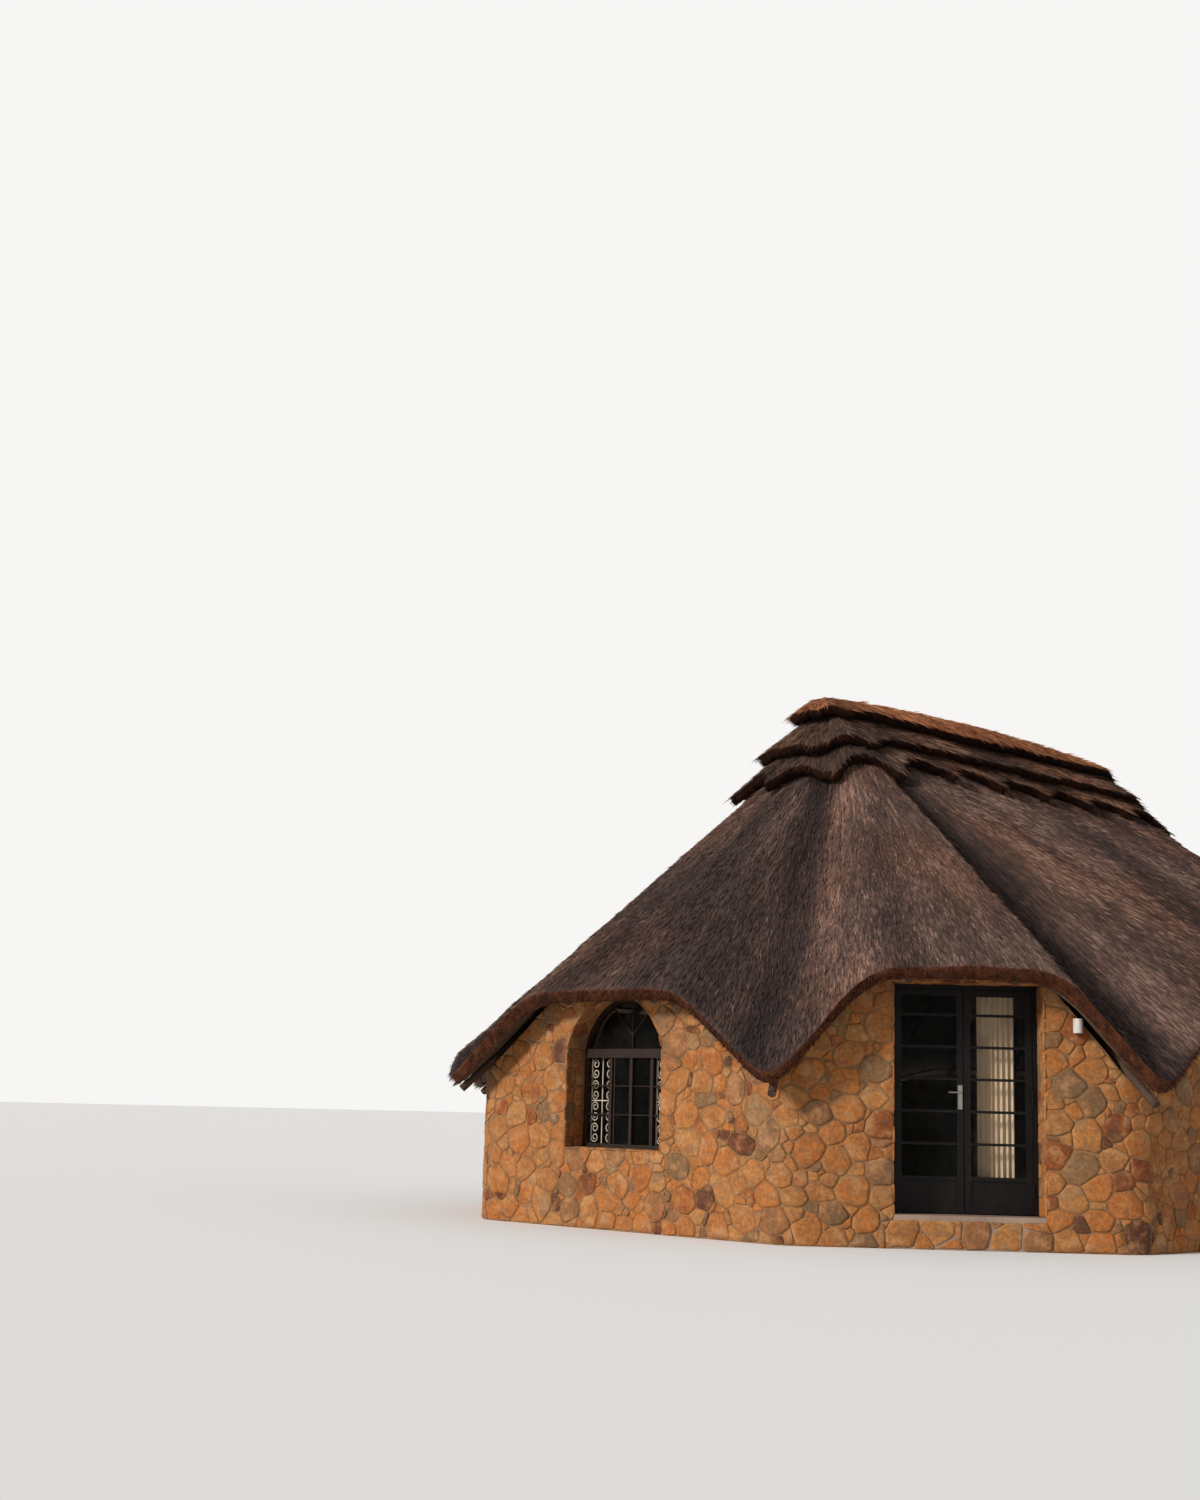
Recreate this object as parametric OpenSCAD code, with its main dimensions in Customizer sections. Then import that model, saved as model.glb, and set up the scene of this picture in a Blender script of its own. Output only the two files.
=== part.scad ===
/* [Plan] */
// Length of the walls along the ridge
plan_x = 11620; // [11200:20:12000]
// Width of the walls across the ridge
plan_y = 8720; // [8500:20:9200]
// Length that each corner is cut back along both sides
corner_cut = 2285; // [2205:5:2400]
// Radius that softens each outer wall corner
corner_r = 450; // [250:10:600]
// Thickness of the stone walls
wall_t = 400; // [360:10:440]
// Height of the floor above the lowest ground
floor_h = 300; // [200:10:400]

/* [Roof] */
// Height of the thatch at the ridge, above the floor, without its cap
ridge_h = 5250; // [5000:10:5500]
// Length of the ridge
ridge_len = 4980; // [4700:20:5200]
// How far the eave stands out from the walls
overhang = 435; // [420:5:500]
// Height of the raised eave above the head of the door
door_eave_room = 100; // [90:5:200]
// Height of the raised eave over the end windows
end_eave_h = 2000; // [1995:5:2150]
// Height of the raised eave over the long sides
long_eave_h = 2060; // [2040:5:2150]
// Height of the raised eave over the plain corners
plain_eave_h = 1400; // [1340:10:1500]
// Height of the low tips at the corners, top edge above the floor
tip_h = 1120; // [1050:10:1300]
// Length of the raised eave over the door and the plain corners
door_raise = 1740; // [1600:20:1900]
// Length of the raised eave over the end windows
end_raise = 2100; // [1950:20:2300]
// Half length of the curve where a raised eave turns down
eave_blend = 200; // [100:10:300]
// Thickness of the thatch at its cut edge
edge_t = 150; // [120:5:160]
// Lean of the cut edge of the thatch from upright
edge_tilt = 40; // [32:1:46]
// Thickness of the thatch at the ridge, straight down
ridge_drop = 280; // [240:10:320]
// Half width of the slot that the ridge cap closes
ridge_gap = 60; // [50:5:65]

/* [Ridge cap] */
// Thickness of each layer of the cap, straight up
cap_t = 78; // [60:2:95]
// How far the lower layer reaches from the ridge, in plan
cap_low_run = 1280; // [1200:10:1400]
// How far the middle layer reaches from the ridge
cap_mid_run = 830; // [760:10:900]
// How far the top layer reaches from the ridge
cap_top_run = 430; // [380:10:500]
// How much higher the crown is at the middle of the ridge than at its ends
crown_rise = 90; // [0:10:150]
// Number of scallops round the lower layer
scallops = 26; // [22:2:30]
// Height of each scallop, measured down the slope in plan
scallop_h = 150; // [100:10:200]

/* [Poles] */
// Diameter of the rafters
pole_d = 80; // [70:5:90]
// Diameter of the ridge pole
ridge_pole_d = 150; // [140:5:170]
// Clear distance between a rafter's top end and the ridge line
rafter_start = 380; // [360:10:450]
// Length that a rafter stops short of the cut edge of the thatch
rafter_back = 70; // [50:5:120]

/* [Door] */
// Width of the door opening
door_w = 1370; // [1320:10:1450]
// Distance of the door's middle from the middle of its wall
door_x = 67; // [0:1:100]
// Height of the door opening above the floor
door_h = 2100; // [2050:5:2110]
// Distance from the outer wall face to the door frame
door_recess = 300; // [280:5:310]
// Width of the frame's steel section
frame_w = 45; // [40:1:55]
// Depth of the frame's steel section
frame_d = 60; // [55:1:70]
// Width of each leaf's stiles
stile_w = 60; // [50:1:75]
// Thickness of each leaf
leaf_t = 40; // [35:1:45]
// Height of the solid panel at the foot of each leaf
kick_h = 330; // [280:5:380]
// Height of the glazing bars
bar_h = 25; // [18:1:32]
// Rows of glass in each leaf
pane_rows = 6; // [4:1:7]
// Clear gap between a leaf and the frame
leaf_gap = 5; // [5:1:8]
// Clear gap where the two leaves meet
meet_gap = 8; // [8:1:12]
// Height of the lever handle above the floor
handle_h = 1060; // [950:10:1100]
// Thickness of all panes of glass
glass_t = 6; // [4:1:8]

/* [Arched windows] */
// Width of the arched opening
arch_w = 1340; // [1280:10:1400]
// Distance of their middle from the middle of the wall
arch_x = -160; // [-200:5:0]
// Height of the sill above the floor
arch_sill = 480; // [450:10:600]
// Height where the arch starts, above the floor
arch_spring = 1470; // [1440:10:1480]
// Rise of the arch
arch_rise = 530; // [500:5:535]
// Distance from the outer wall face to the window frame
window_recess = 250; // [220:5:260]
// Height of the timber transom under the arch
transom_h = 90; // [70:5:100]
// Depth of the timber transom
transom_d = 85; // [70:5:90]
// Width of each mullion
mullion_w = 40; // [30:2:50]
// Distance from the middle to the outer mullions
mullion_x = 290; // [260:5:330]
// Thickness of the bars of the scroll guards
guard_bar = 12; // [10:1:14]

/* [Long windows] */
// Width of the long low window
ribbon_w = 1900; // [1600:10:2000]
// Height of the long low window
ribbon_h = 430; // [380:10:450]
// Height of its sill above the floor
ribbon_sill = 1350; // [1300:10:1380]
// Distance of its middle from the middle of the wall
ribbon_x = -1066; // [-1100:2:-900]
// Depth of the frames of both kinds of window
window_d = 60; // [50:1:70]

/* [Fittings] */
// Clear height between the curtain rail's low end and the thatch
rail_room = 25; // [15:5:60]
// Diameter of the curtain rail
rail_d = 25; // [20:1:30]
// Distance from the inner wall face to the rail
rail_off = 70; // [60:5:90]
// Half length of the curtain rail
rail_half = 880; // [860:5:890]
// Distance from the middle of the door to the middle of the rail
rail_x = -50; // [-60:5:-40]
// Width of the cream curtain
curtain_w = 350; // [300:10:420]
// Depth of the hanging curtains
curtain_d = 60; // [50:5:70]
// Diameter of the wall lamp
lamp_d = 90; // [80:5:110]
// Distance of the wall lamp from the door opening
lamp_x = 300; // [250:10:350]
// Length of the wall lamp
lamp_l = 130; // [110:10:150]
// Clear height between the wall lamp and the thatch
lamp_room = 30; // [20:5:80]

/* [Hidden] */
$fn = 48;
half_turn = 22.5;
seat = 0.3;
// Height that the wall tops drop at the corners, under the valley rafters
corner_drop = 14;
// Height of each cap layer above the one below, where it rides over a valley
cap_rise = [14.0, 21.1, 26.6];
lean = tan(half_turn);
ridge_z = floor_h + ridge_h;
ridge_half = ridge_len / 2;
tip_z = floor_h + tip_h;

WINDOW_END = 0;
DOOR_SIDE = 1;
FRONT = 2;
FRONT_FAR = 3;
FAR_END = 4;
BACK_FAR = 5;
BACK = 6;
BACK_NEAR = 7;

// The eight sides of the plan, counted from the window end round to the right
function side_turn(i) = 180 + 45 * i;
function is_end(i) = i % 4 == 0;
function is_long(i) = i % 4 == 2;
function heading(a) = [cos(a), sin(a)];
function side_len(i) =
    is_end(i) ? plan_y - 2 * corner_cut
    : is_long(i) ? plan_x - 2 * corner_cut
    : corner_cut * sqrt(2);
function side_mid(i) =
    let (c = cos(side_turn(i)), s = sin(side_turn(i)))
    is_end(i) ? [c * plan_x / 2, 0]
    : is_long(i) ? [0, s * plan_y / 2]
    : [sign(c) * (plan_x - corner_cut) / 2, sign(s) * (plan_y - corner_cut) / 2];
function outward(i) = heading(side_turn(i));
function along(i) = heading(side_turn(i) + 90);
function plan_point(i, x, out) = side_mid(i) + x * along(i) + out * outward(i);

// The eave: raised and level over each side, down to a low tip at each corner
function eave_half(i) = side_len(i) / 2 + overhang * lean;
function raise_half(i) =
    is_end(i) ? end_raise / 2 : is_long(i) ? ridge_half : door_raise / 2;
function raised_z(i) =
    floor_h + (is_end(i) ? end_eave_h : is_long(i) ? long_eave_h
        : i == DOOR_SIDE ? door_h + door_eave_room : plain_eave_h);
function eave_fall(i) = (raised_z(i) - tip_z) / (eave_half(i) - raise_half(i));
function turn_down(x) =
    x < -eave_blend ? 0
    : x < eave_blend ? pow(x + eave_blend, 2) / (4 * eave_blend) : x;
function eave_z(i, x) =
    raised_z(i) - eave_fall(i) * turn_down(abs(x) - raise_half(i));
function half_steps(i) =
    let (k = raise_half(i), b = eave_blend, h = eave_half(i), rest = h - k - b)
    [0, (k - b) / 2, k - b, k - b / 3, k + b / 3, k + b,
     k + b + rest / 3, k + b + 2 * rest / 3, h - seat];
function eave_steps(i) =
    let (s = half_steps(i), n = len(s) - 1)
    concat([for (j = [n : -1 : 1]) -s[j]], s);

// The roof is ruled: a straight line runs from the ridge to each eave point
function ridge_foot(p) = [max(-ridge_half, min(ridge_half, p.x)), 0];
function ridge_run(i) =
    (side_mid(i) - ridge_foot(side_mid(i))) * outward(i) + overhang;
function side_pitch(i) = atan((ridge_z - raised_z(i)) / ridge_run(i));
cut_in = edge_t * sin(edge_tilt);
cut_down = edge_t * cos(edge_tilt);
// Each rule holds its ridge foot, heading, run to the eave, eave height and
// run to the lower edge of the cut, which two sides share at their valley
function rule(i, x) =
    let (p = plan_point(i, x, overhang), f = ridge_foot(p), run = norm(p - f),
        d = (p - f) / run, h = eave_half(i), k = raise_half(i),
        t = max(0, min(1, (abs(x) - k) / (h - k))))
    [f, d, run, eave_z(i, x), run - cut_in * ((1 - t) / (d * outward(i)) + t)];
function over_at(r, run) =
    ridge_z + (r[3] - ridge_z) * (run - ridge_gap) / (r[2] - ridge_gap);
function under_at(r, run) =
    let (top = ridge_z - ridge_drop, low = r[3] - cut_down)
    top + (low - top) * (run - ridge_gap) / (r[4] - ridge_gap);
function lift(r, run, z) = [r[0].x + r[1].x * run, r[0].y + r[1].y * run, z];

// Where the underside of the thatch crosses a plane set in from the wall face
function cross_run(i, r, depth) =
    (-depth - (r[0] - side_mid(i)) * outward(i)) / (r[1] * outward(i));
function under_slope(r) =
    atan((under_at(r, ridge_gap) - under_at(r, r[4]))
        / (r[4] - ridge_gap));
function pole_room(i, r) =
    (pole_d + 3 * seat) / min(cos(under_slope(r)), cos(under_slope(rule(i, 0))));
function wall_top_point(i, x) =
    let (r = rule(i, x), run = cross_run(i, r, 0))
    [(r[0] + run * r[1] - side_mid(i)) * along(i),
     under_at(r, run) - pole_room(i, r)];

// Height of the underside of the thatch at a place in a wall's own plane
function soffit_z(i, x, depth) =
    let (r = rule(i, x), k = x / ((r[0] + cross_run(i, r, depth) * r[1] - side_mid(i)) * along(i)),
        q = rule(i, x * k))
    under_at(q, cross_run(i, q, depth));

module at_side(i) {
    translate(side_mid(i)) rotate([0, 0, side_turn(i) + 90]) children();
}

module at_door() {
    at_side(DOOR_SIDE) translate([door_x, 0, 0]) children();
}

module at_arch(i) {
    at_side(i) translate([arch_x, 0, 0]) children();
}

// Upright outline in the wall's own plane, pushed inward from one depth
module upright(from, depth) {
    translate([0, from + depth, 0])
        rotate([90, 0, 0])
            linear_extrude(depth) children();
}

// Walls
module wall_plan(i) {
    h = side_len(i) / 2;
    c = h - corner_r * lean;
    bend = [for (a = [0 : 4.5 : half_turn])
        [c + corner_r * sin(a), corner_r - corner_r * cos(a)]];
    right = concat(bend, [[h - wall_t * lean, wall_t]]);
    n = len(right) - 1;
    left = [for (j = [n : -1 : 0]) [-right[j].x, right[j].y]];
    polygon(concat(right, left));
}

module wall_face(i) {
    h = side_len(i) / 2 + wall_t;
    s = eave_steps(i);
    n = len(s) - 1;
    top = [for (j = [n : -1 : 0])
        wall_top_point(i, s[j]) - [0, j == 0 || j == n ? corner_drop : 0]];
    polygon(concat([[-h, 0], [h, 0], [h, top[0].y]], top, [[-h, top[n].y]]));
}

module wall_body(i) {
    intersection() {
        linear_extrude(ridge_z) wall_plan(i);
        upright(0, wall_t) wall_face(i);
    }
}

arch_r = (pow(arch_w / 2, 2) + pow(arch_rise, 2)) / (2 * arch_rise);
arch_mid = floor_h + arch_spring + arch_rise - arch_r;
arch_steps = 16;

// Straight jambs under one round arch, all set in by the same amount
module arch_outline(inset) {
    w = arch_w / 2 - inset;
    r = arch_r - inset;
    open = asin(w / r);
    foot = floor_h + arch_sill + inset;
    arc = [for (k = [0 : arch_steps])
        let (a = open * (1 - 2 * k / arch_steps))
        [r * sin(a), arch_mid + r * cos(a)]];
    polygon(concat([[-w, foot], [w, foot]], arc));
}

module ribbon_outline(inset) {
    translate([ribbon_x - ribbon_w / 2 + inset, floor_h + ribbon_sill + inset])
        square([ribbon_w - 2 * inset, ribbon_h - 2 * inset]);
}

module arched_wall(i) {
    color("tan") at_side(i) difference() {
        wall_body(i);
        translate([arch_x, 0, 0]) upright(-10, wall_t + 20) arch_outline(0);
    }
}

module ribbon_wall(i) {
    color("tan") at_side(i) difference() {
        wall_body(i);
        upright(-10, wall_t + 20) ribbon_outline(0);
    }
}

module plain_wall(i) {
    color("tan") at_side(i) wall_body(i);
}

module door_wall_side(s) {
    color("tan") at_side(DOOR_SIDE) intersection() {
        wall_body(DOOR_SIDE);
        translate([door_x + (s > 0 ? door_w / 2 : -door_w / 2 - plan_x), -10, 0])
            cube([plan_x, wall_t + 20, ridge_z]);
    }
}

module window_end_wall() arched_wall(WINDOW_END);
module far_end_wall() arched_wall(FAR_END);
module front_long_wall() ribbon_wall(FRONT);
module back_long_wall() ribbon_wall(BACK);
module front_far_corner_wall() plain_wall(FRONT_FAR);
module back_far_corner_wall() plain_wall(BACK_FAR);
module back_near_corner_wall() plain_wall(BACK_NEAR);
module door_wall_left() door_wall_side(-1);
module door_wall_right() door_wall_side(1);

module door_wall_over() {
    color("tan") at_side(DOOR_SIDE) intersection() {
        wall_body(DOOR_SIDE);
        translate([door_x - door_w / 2, -10, floor_h + door_h])
            cube([door_w, wall_t + 20, ridge_z]);
    }
}

module floor_slab() {
    inner = [for (i = [0 : 7])
        plan_point(i, side_len(i) / 2 - wall_t * lean, -wall_t)];
    color("gray") linear_extrude(floor_h) polygon(inner);
}

module door_sill() {
    color("gray") at_door()
        translate([-door_w / 2, 0, 0]) cube([door_w, wall_t, floor_h]);
}

// Door, drawn in the plane of its wall with x to the right seen from outside
leaf_w = (door_w - 2 * frame_w - 2 * leaf_gap - meet_gap) / 2;
leaf_foot = floor_h + 2 * leaf_gap;
leaf_top = floor_h + door_h - frame_w - leaf_gap;
hinge_x = -door_w / 2 + frame_w + leaf_gap / 2;
barrel_d = 16;
hinge_y = door_recess - barrel_d / 2;
barrel_l = 55;
hinge_rows = [160, (door_h - 100) / 2, door_h - 260];
stop_w = 12;

module door_frame() {
    color("black") at_door() {
        upright(door_recess, leaf_t + leaf_gap) difference() {
            translate([-door_w / 2, floor_h]) square([door_w, door_h]);
            translate([-door_w / 2 + frame_w, floor_h - 1])
                square([door_w - 2 * frame_w, door_h - frame_w + 1]);
        }
        upright(door_recess + leaf_t + leaf_gap, frame_d - leaf_t - leaf_gap)
            difference() {
                translate([-door_w / 2, floor_h]) square([door_w, door_h]);
                translate([-door_w / 2 + frame_w + stop_w, floor_h - 1])
                    square([door_w - 2 * frame_w - 2 * stop_w,
                        door_h - frame_w - stop_w + 1]);
            }
        for (s = [-1, 1], z = hinge_rows) {
            translate([s * -hinge_x, hinge_y, floor_h + z])
                cylinder(d = barrel_d, h = barrel_l);
            translate([s * (-hinge_x + 12) - 12, door_recess - 4, floor_h + z])
                cube([24, 5, barrel_l]);
        }
    }
}

// One leaf: stiles, top rail, glazing bars, foot panel and hinge knuckles
module leaf_outline() {
    square([leaf_w, leaf_top - leaf_foot]);
}

module leaf_glazing() {
    translate([stile_w, kick_h])
        square([leaf_w - 2 * stile_w, leaf_top - leaf_foot - kick_h - stile_w]);
}

bar_pitch = (door_h - kick_h) / pane_rows;

module leaf_at(s) {
    at_door()
        mirror([s > 0 ? 1 : 0, 0, 0])
            translate([-door_w / 2 + frame_w + leaf_gap, 0, leaf_foot])
                children();
}

module door_leaf(s) {
    color("black") leaf_at(s) {
        upright(door_recess, leaf_t) difference() {
            leaf_outline();
            leaf_glazing();
            translate([stile_w, stile_w])
                square([leaf_w - 2 * stile_w, kick_h - 2 * stile_w + bar_h]);
        }
        upright(door_recess + leaf_t / 2 - 4, 8)
            translate([stile_w - 1, stile_w - 1])
                square([leaf_w - 2 * stile_w + 2, kick_h - 2 * stile_w + bar_h + 2]);
        for (k = [1 : pane_rows - 1])
            translate([stile_w - 1, door_recess + 3, kick_h + k * bar_pitch - bar_h / 2])
                cube([leaf_w - 2 * stile_w + 2, leaf_t / 2 - glass_t / 2 - 3 - seat, bar_h]);
        for (z = hinge_rows) {
            translate([-leaf_gap / 2, hinge_y, z + barrel_l - leaf_gap])
                cylinder(d = barrel_d, h = barrel_l);
            translate([-leaf_gap / 2, door_recess - 4, z + barrel_l - leaf_gap])
                cube([24, 5, barrel_l]);
        }
    }
}

module door_glass(s) {
    color("lightblue") leaf_at(s)
        translate([stile_w + seat, door_recess + leaf_t / 2 - glass_t / 2, kick_h + seat])
            cube([leaf_w - 2 * stile_w - 2 * seat, glass_t,
                leaf_top - leaf_foot - kick_h - stile_w - 2 * seat]);
}

module left_door_leaf() door_leaf(-1);
module right_door_leaf() door_leaf(1);
module left_door_glass() door_glass(-1);
module right_door_glass() door_glass(1);

// Lever handle on its long plate, on the meeting stile of the left leaf
plate_w = 42;
plate_h = 220;
plate_t = 5;
lever_d = 18;
lever_out = 48;
lever_l = 115;

module door_handle() {
    x = leaf_w - stile_w / 2;
    z = floor_h + handle_h - leaf_foot;
    color("silver") leaf_at(-1) translate([x, door_recess, z]) {
        translate([-plate_w / 2, -plate_t, -plate_h / 2])
            cube([plate_w, plate_t, plate_h]);
        translate([0, -lever_out, plate_h / 5])
            rotate([-90, 0, 0]) cylinder(d = lever_d, h = lever_out - plate_t + 1);
        translate([0, -lever_out, plate_h / 5])
            rotate([0, -90, 0]) cylinder(d = lever_d, h = lever_l);
        translate([0, -lever_out, plate_h / 5]) sphere(d = lever_d);
    }
}

// Arched window: frame, transom and mullions
light_top = arch_spring - transom_h;
inner_w = arch_w - 2 * frame_w;

module arch_frame(i) {
    y = window_recess;
    z0 = floor_h + arch_sill + frame_w;
    color("#3a2a22") at_arch(i) {
        upright(y, window_d) difference() {
            arch_outline(0);
            arch_outline(frame_w);
        }
        translate([-inner_w / 2 - 1, y - (transom_d - window_d), floor_h + light_top])
            cube([inner_w + 2, transom_d, transom_h]);
        for (x = [-mullion_x, 0, mullion_x])
            translate([x - mullion_w / 2, y, z0 - 1])
                cube([mullion_w, window_d / 2 - seat, light_top - arch_sill - frame_w + 2]);
    }
}

module arch_glass(i) {
    y = window_recess + window_d / 2;
    color("lightblue") at_arch(i) {
        translate([-inner_w / 2 + seat, y, floor_h + arch_sill + frame_w + seat])
            cube([inner_w - 2 * seat, glass_t, light_top - arch_sill - frame_w - 2 * seat]);
        upright(y, glass_t) intersection() {
            arch_outline(frame_w + seat);
            translate([-arch_w, floor_h + arch_spring + seat])
                square([2 * arch_w, arch_rise]);
        }
    }
}

// One scroll guard: a white bar frame with a middle bar and two scrolls
module guard_panel(x0, w) {
    h = light_top - arch_sill - frame_w;
    z0 = floor_h + arch_sill + frame_w;
    y = window_recess + window_d + seat;
    r = (w - 2 * guard_bar) / 4;
    translate([x0, y, z0]) {
        upright(0, guard_bar) difference() {
            translate([-guard_bar, -guard_bar]) square([w + 2 * guard_bar, h + 2 * guard_bar]);
            square([w, h]);
        }
        translate([-1, 0, h / 2 - guard_bar / 2]) cube([w + 2, guard_bar, guard_bar]);
        for (k = [0, 1], s = [-1, 1])
            translate([w / 2 + s * r, 0, h * (0.25 + 0.5 * k)])
                upright(1, guard_bar - 2) difference() {
                    circle(r + 1);
                    circle(r - guard_bar + 2);
                }
        for (k = [0, 1])
            translate([w / 2 - guard_bar / 2, 0, k * h / 2 + (k == 0 ? -1 : 0)])
                cube([guard_bar, guard_bar, h / 2 + 1]);
    }
}

module arch_guards(i) {
    w = inner_w / 2 - mullion_x - mullion_w / 2;
    color("white") at_arch(i) {
        guard_panel(-inner_w / 2, w);
        guard_panel(mullion_x + mullion_w / 2, w);
    }
}

module end_window_frame() arch_frame(WINDOW_END);
module end_window_glass() arch_glass(WINDOW_END);
module end_window_guards() arch_guards(WINDOW_END);
module far_window_frame() arch_frame(FAR_END);
module far_window_glass() arch_glass(FAR_END);
module far_window_guards() arch_guards(FAR_END);

// Long low window: a wide fixed pane and a narrow one
ribbon_split = ribbon_w / 3;

module ribbon_frame(i) {
    color("#3a2a22") at_side(i) {
        upright(window_recess, window_d) difference() {
            ribbon_outline(0);
            ribbon_outline(frame_w);
        }
        translate([ribbon_x + ribbon_w / 2 - ribbon_split - mullion_w / 2, window_recess,
            floor_h + ribbon_sill + frame_w - 1])
            cube([mullion_w, window_d / 2 - seat, ribbon_h - 2 * frame_w + 2]);
    }
}

module ribbon_glass(i) {
    color("lightblue") at_side(i)
        upright(window_recess + window_d / 2, glass_t)
            ribbon_outline(frame_w + seat);
}

module front_ribbon_frame() ribbon_frame(FRONT);
module front_ribbon_glass() ribbon_glass(FRONT);
module back_ribbon_frame() ribbon_frame(BACK);
module back_ribbon_glass() ribbon_glass(BACK);

// Thatch over one side, from valley to valley, as a closed shell
module thatch_side(i) {
    rules = [for (x = eave_steps(i)) rule(i, x)];
    n = len(rules);
    ring = [for (r = rules) each [
        lift(r, ridge_gap, ridge_z),
        lift(r, r[2], r[3]),
        lift(r, r[4], r[3] - cut_down),
        lift(r, ridge_gap, ridge_z - ridge_drop)
    ]];
    skin = [for (k = [0 : n - 2], j = [0 : 3])
        let (a = 4 * k + j, b = 4 * k + (j + 1) % 4)
        each [[a, a + 4, b + 4], [a, b + 4, b]]];
    ends = [[0, 1, 2, 3], [for (j = [3 : -1 : 0]) 4 * (n - 1) + j]];
    color("#6f6259") polyhedron(points = ring, faces = concat(skin, ends), convexity = 6);
}

module thatch_window_end() thatch_side(WINDOW_END);
module thatch_door_side() thatch_side(DOOR_SIDE);
module thatch_front() thatch_side(FRONT);
module thatch_front_far_corner() thatch_side(FRONT_FAR);
module thatch_far_end() thatch_side(FAR_END);
module thatch_back_far_corner() thatch_side(BACK_FAR);
module thatch_back() thatch_side(BACK);
module thatch_back_near_corner() thatch_side(BACK_NEAR);

// The side whose eave a line from the ridge meets first
function side_reach(i, f, d) =
    let (facing = d * outward(i))
    facing < 0.01 ? 1e9
    : ((side_mid(i) - f) * outward(i) + overhang) / facing;
function met_side(f, d) =
    let (reach = [for (i = [0 : 7]) side_reach(i, f, d)], least = min(reach))
    [for (i = [0 : 7]) if (reach[i] <= least + 0.001) i][0];
function cap_rule(f, d) =
    let (i = met_side(f, d), run = side_reach(i, f, d))
    [f, d, run, eave_z(i, (f + run * d - side_mid(i)) * along(i))];

// A place on the outline that lies one reach away from the ridge all round,
// counted from the middle of the window end
function cap_place(s, reach) =
    let (bow = PI * reach, l = ridge_len, t = s * (2 * l + 2 * bow))
    t < bow / 2 ? cap_rule([-ridge_half, 0], heading(180 + 180 * t / bow))
    : t < bow / 2 + l ? cap_rule([t - bow / 2 - ridge_half, 0], [0, -1])
    : t < bow * 1.5 + l
        ? cap_rule([ridge_half, 0], heading(-90 + 180 * (t - bow / 2 - l) / bow))
    : t < bow * 1.5 + 2 * l
        ? cap_rule([ridge_half - (t - bow * 1.5 - l), 0], [0, 1])
    : cap_rule([-ridge_half, 0], heading(90 + 180 * (t - bow * 1.5 - 2 * l) / bow));

// One layer of the cap: a tent over the ridge with a scalloped lower edge
cap_steps = 6;
cap_n = scallops * cap_steps;
cap_rules = [for (k = [0 : cap_n - 1]) cap_place((k + 0.5) / cap_n, cap_low_run)];

module cap_layer(level, reach, waves, bite, rise) {
    n = cap_n;
    low = level * cap_t + cap_rise[level];
    high = low + cap_t;
    run = [for (k = [0 : n - 1])
        let (q = waves * (k + 0.5) / n, x = 2 * (q - floor(q)) - 1)
        reach - bite * sqrt(1 - x * x)];
    points = [for (k = [0 : n - 1]) let (r = cap_rules[k]) each [
        lift(r, ridge_gap, ridge_z + high + rise * (1 - pow(r[0].x / ridge_half, 2))),
        lift(r, run[k], over_at(r, run[k]) + high),
        lift(r, run[k], over_at(r, run[k]) + low),
        lift(r, ridge_gap, ridge_z + low)
    ]];
    skin = [for (k = [0 : n - 1], j = [0 : 2])
        let (a = 4 * k + j, b = a + 1, c = 4 * ((k + 1) % n) + j, d = c + 1)
        each [[a, c, d], [a, d, b]]];
    crown = [for (k = [0 : n / 2 - 2])
        let (a = 4 * k, b = a + 4, c = 4 * (n - 2 - k), d = c + 4)
        each [[d, c, b, a], [a + 3, b + 3, c + 3, d + 3]]];
    polyhedron(points = points, faces = concat(skin, crown), convexity = 6);
}

module ridge_cap_lower() {
    color("#6a5a50") cap_layer(0, cap_low_run, scallops, scallop_h, 0);
}

module ridge_cap_middle() {
    color("#75665c") cap_layer(1, cap_mid_run, scallops / 2, scallop_h / 5, 0);
}

module ridge_cap_top() {
    color("#8a7464") cap_layer(2, cap_top_run, scallops / 2, scallop_h / 5, crown_rise);
}

// A rafter lies under the thatch along one rule, from ridge to eave

module pole_between(a, b, d) {
    v = b - a;
    l = norm(v);
    translate(a)
        rotate([0, acos(v.z / l), atan2(v.y, v.x)])
            cylinder(d = d, h = l);
}

module flat_rafter(i, x, start) {
    r = rule(i, x);
    end = r[4] - rafter_back;
    p = under_slope(rule(i, 0));
    down = (pole_d / 2 + 2 * seat)
        * [outward(i).x * sin(p), outward(i).y * sin(p), cos(p)];
    pole_between(lift(r, start, under_at(r, start)) - down,
        lift(r, end, under_at(r, end)) - down, pole_d);
}

module valley_rafter(i) {
    r = rule(i, eave_half(i));
    end = r[4] - rafter_back;
    p = under_slope(r);
    down = (pole_d / 2 + seat) * [r[1].x * sin(p), r[1].y * sin(p), cos(p)];
    pole_between(lift(r, rafter_start, under_at(r, rafter_start)) - down,
        lift(r, end, under_at(r, end)) - down, pole_d);
}

long_rafters = [-0.84, -0.56, -0.28, 0, 0.28, 0.56, 0.84];

module rafters() {
    color("#5a4636") {
        for (i = [0 : 7]) valley_rafter(i);
        for (i = [0 : 7])
            if (is_long(i))
                for (q = long_rafters)
                    flat_rafter(i, q * (ridge_half - eave_blend), rafter_start / 2);
            else
                for (s = [-1, 1])
                    flat_rafter(i, s * (raise_half(i) - eave_blend) * 0.75, rafter_start);
    }
}

module ridge_pole() {
    z = ridge_z - ridge_drop
        - sqrt(pow(ridge_pole_d / 2 + seat, 2) - pow(ridge_gap, 2));
    color("#5a4636") translate([-ridge_half, 0, z])
        rotate([0, 90, 0]) cylinder(d = ridge_pole_d, h = ridge_len);
}

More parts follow.
